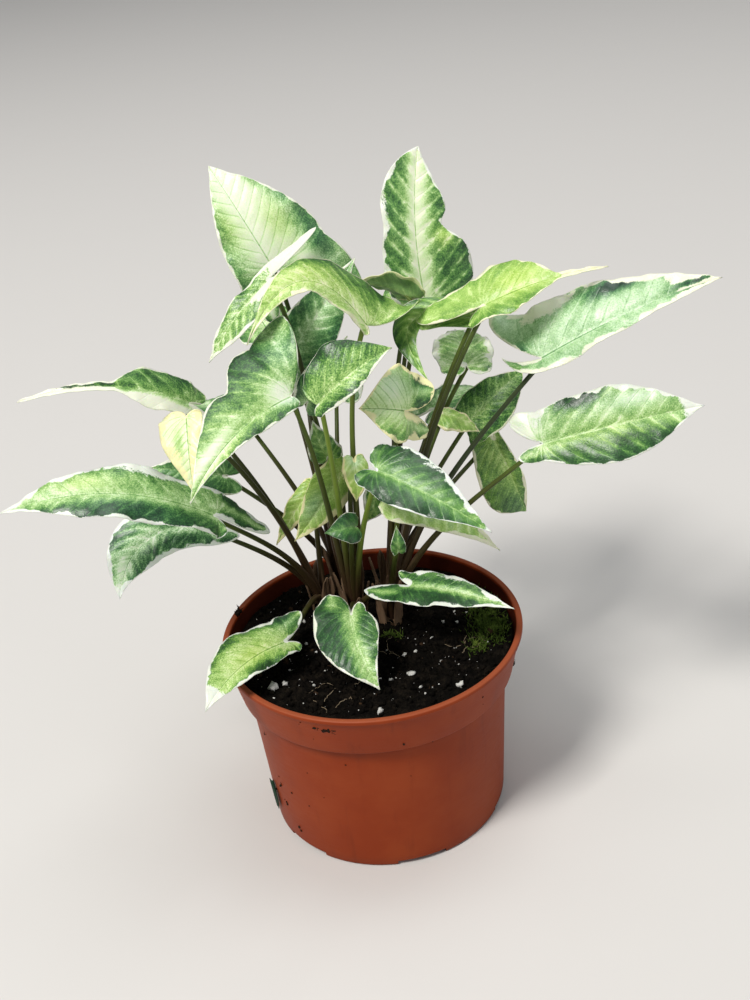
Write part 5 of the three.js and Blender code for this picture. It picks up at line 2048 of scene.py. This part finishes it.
    def specks(self) -> None:
        """Soil that stuck to the collar and the wall when the plant was potted."""
        draw = np.random.default_rng(self.seed)
        piece = Piece()
        spots = ((250, 76, 4.0, 1.3, 34), (240, 78, 4, 3, 5), (205, 52, 1.5, 2, 4),
                 (210, 29, 1.5, 2, 3), (212, 19, 2, 2, 3), (218, 9, 2, 2, 2),
                 (346, 66, 1.2, 1.5, 9), (235, 50, 60, 40, 12), (300, 60, 60, 40, 10),
                 (100, 60, 50, 22, 18), (30, 50, 40, 24, 14))
        for middle, height, spread, rise, count in spots:
            for _ in range(count):
                z = min(height + rise * draw.normal() * 0.5, self.height - 2.4)
                z = max(z, 3.0)
                angle = math.radians(middle) + draw.normal() * spread * 0.5 / self.rim_radius
                radius = self.outer_radius(z)
                size = self.least_speck + 0.6 * draw.random() ** 2.5
                centre = np.array([radius * math.cos(angle), radius * math.sin(angle), z])
                piece.add(*pebble(centre, size * draw.uniform(0.6, 1.3, 3), draw, 1))
        for angle, z, size in ((160, 82.2, 1.7), (158, 82.0, 1.2), (346, 67, 1.6)):
            radius = self.outer_radius(z) - 1.2
            turn = math.radians(angle)
            foot = np.array([radius * math.cos(turn), radius * math.sin(turn), z])
            piece.add(*pebble(foot, size * np.array([1.0, 0.8, 0.7]), draw, 2))
            for _ in range(7):
                piece.add(*Soil.spike(foot + draw.normal(size=3) * 0.5, draw))
        for heading in (0.2, -0.5, 2.9, 1.2):
            u = np.linspace(0, 1, 9)
            z = self.tangle_height + 2.5 * math.sin(heading) * u + 0.5 * np.sin(5 * u + heading)
            angle = math.radians(self.tangle_angle) + 3.5 * math.cos(heading) * u / 58
            radius = np.array([self.outer_radius(float(level)) for level in z]) + 0.12
            line = np.stack([radius * np.cos(angle), radius * np.sin(angle), z], -1)
            radii = np.full((9, 5), self.tangle_radius)
            points, faces, _ = tube(line, radii, 5, np.array([0.1, 0.2, 1.0]))
            piece.add(points, faces)
        dark = EarthFinish("stuck_soil", ((0.006, 0.004, 0.003), (0.02, 0.013, 0.009),
                                          (0.06, 0.04, 0.028))).material()
        piece.build("stuck_specks", Slot.SOIL, dark)

    def scrap(self) -> None:
        """A wilted bit of leaf that sticks to the wall."""
        t = np.linspace(0, 1, 9)[:, None]
        across = np.linspace(-1, 1, 7)[None, :]
        z = self.scrap_foot + self.scrap_height * t + 0.6 * np.sin(4 * across)
        wide = self.scrap_width * np.sqrt(np.clip(np.sin(np.pi * (0.1 + 0.82 * t)), 0, 1))
        turn = math.radians(self.scrap_angle)
        angle = turn + across * wide / self.base_radius + 0.02 * np.sin(3 * t)
        radius = self.body_radius(0) + 1.9 + 0.9 * np.abs(across - 0.2) * t + 0 * angle
        points = np.stack([radius * np.cos(angle), radius * np.sin(angle), z], -1)
        piece = Piece()
        piece.add(*thick_sheet(points, self.scrap_thickness))
        wilted = EarthFinish("wilted_leaf", ((0.006, 0.02, 0.012), (0.015, 0.045, 0.025),
                                             (0.03, 0.07, 0.035)), 0.4, 0.6, 0.3).material()
        piece.build("leaf_scrap", Slot.BLADE, wilted)


# -------- studio


@dataclass
class Studio:
    """The plain pale floor, the soft lights and the camera."""

    camera_place: Triple = (7.13, -429.43, 377.04)
    forward: Triple = (0.0, 0.87462, -0.48481)
    right: Triple = (0.99357, -0.05488, -0.09901)
    lens: float = 46.8
    floor_size: float = 12.0
    floor_colour: Colour = (0.66, 0.645, 0.62)
    floor_shade: Colour = (0.58, 0.565, 0.54)
    sky: Colour = (0.92, 0.95, 1.0)
    sky_strength: float = 0.25

    def build(self) -> None:
        """Sets up everything that isn't part of the plant."""
        self.add_floor()
        self.add_camera()
        self.add_light("key", (-1.5, -1.5, 3.1), 0.9, 120, (1.0, 0.97, 0.93))
        self.add_light("top", (0.4, 0.5, 3.2), 1.6, 32, (1.0, 1.0, 1.0))
        self.add_light("fill", (2.4, -2.0, 1.2), 2.0, 12, (0.95, 0.97, 1.0))
        world = bpy.data.worlds.new("soft_daylight")
        world.use_nodes = True
        background = world.node_tree.nodes["Background"]
        background.inputs["Color"].default_value = (*self.sky, 1)
        background.inputs["Strength"].default_value = self.sky_strength
        bpy.context.scene.world = world
        bpy.context.scene.view_settings.view_transform = "Standard"

    def add_floor(self) -> None:
        """A wide pale sheet just under the pot's foot."""
        half = self.floor_size / 2
        mesh = bpy.data.meshes.new("studio_floor")
        corners = [(-half, -half, 0), (half, -half, 0), (half, half, 0), (-half, half, 0)]
        mesh.from_pydata(corners, [], [(0, 1, 2, 3)])
        nodes = Nodes("pale_floor")
        grain = nodes.noise(nodes.place(), 0.02, 3)
        colour = nodes.blend(nodes.times(grain, 0.08), self.floor_colour, self.floor_shade)
        mesh.materials.append(nodes.finish(colour, 0.9, grain, 0.1, 0.1, specular=0.2))
        floor = linked(bpy.data.objects.new("studio_floor", mesh))

    def add_camera(self) -> None:
        """The camera, level with the leaves and looking down on the pot."""
        data = bpy.data.cameras.new("portrait_camera")
        data.lens = self.lens
        camera = bpy.data.objects.new("portrait_camera", data)
        forward = Vector(self.forward).normalized()
        right = Vector(self.right).normalized()
        up = right.cross(forward).normalized()
        rows = zip(right, up, -forward, Vector(self.camera_place) * MM)
        camera.matrix_world = Matrix([*rows, (0, 0, 0, 1)])
        linked(camera)
        bpy.context.scene.camera = camera

    @staticmethod
    def add_light(name: str, place: Triple, size: float, power: float, colour: Colour) -> None:
        """A soft square light that faces the plant.

        Args:
            name: Its name.
            place: Where it stands, in metres.
            size: Its side, in metres.
            power: Its power, in watts.
            colour: Its colour.
        """
        data = bpy.data.lights.new(name, "AREA")
        data.size = size
        data.energy = power
        data.color = colour
        light = bpy.data.objects.new(name, data)
        light.location = place
        aim = Vector((0, 0.01, 0.14)) - Vector(place)
        light.rotation_euler = aim.to_track_quat("-Z", "Y").to_euler()
        linked(light)


# -------- the whole plant


def main() -> None:
    """Builds the studio, the pot, the soil and the plantlets."""
    logging.basicConfig(level=logging.INFO, format="%(name)s %(message)s")
    Studio().build()
    Pot().build()
    Soil().build()
    blades = [BladeShape(leaf, seed=1 + 0.77 * index) for index, leaf in enumerate(LEAVES)]
    stalk_skin = StalkFinish().material()
    for index, name in enumerate(PLANTLETS):
        leaves = [blade for blade in blades if blade.leaf.plantlet == name]
        Stalks(name, leaves, seed=31 + index).build(stalk_skin)
    blade_skin = BladeFinish().material()
    for blade in blades:
        name = blade.leaf.name
        blade.piece().build(f"blade_{name}", Slot.BLADE, blade_skin, [f"leaf_{name}"])


if __name__ == "__main__":
    main()
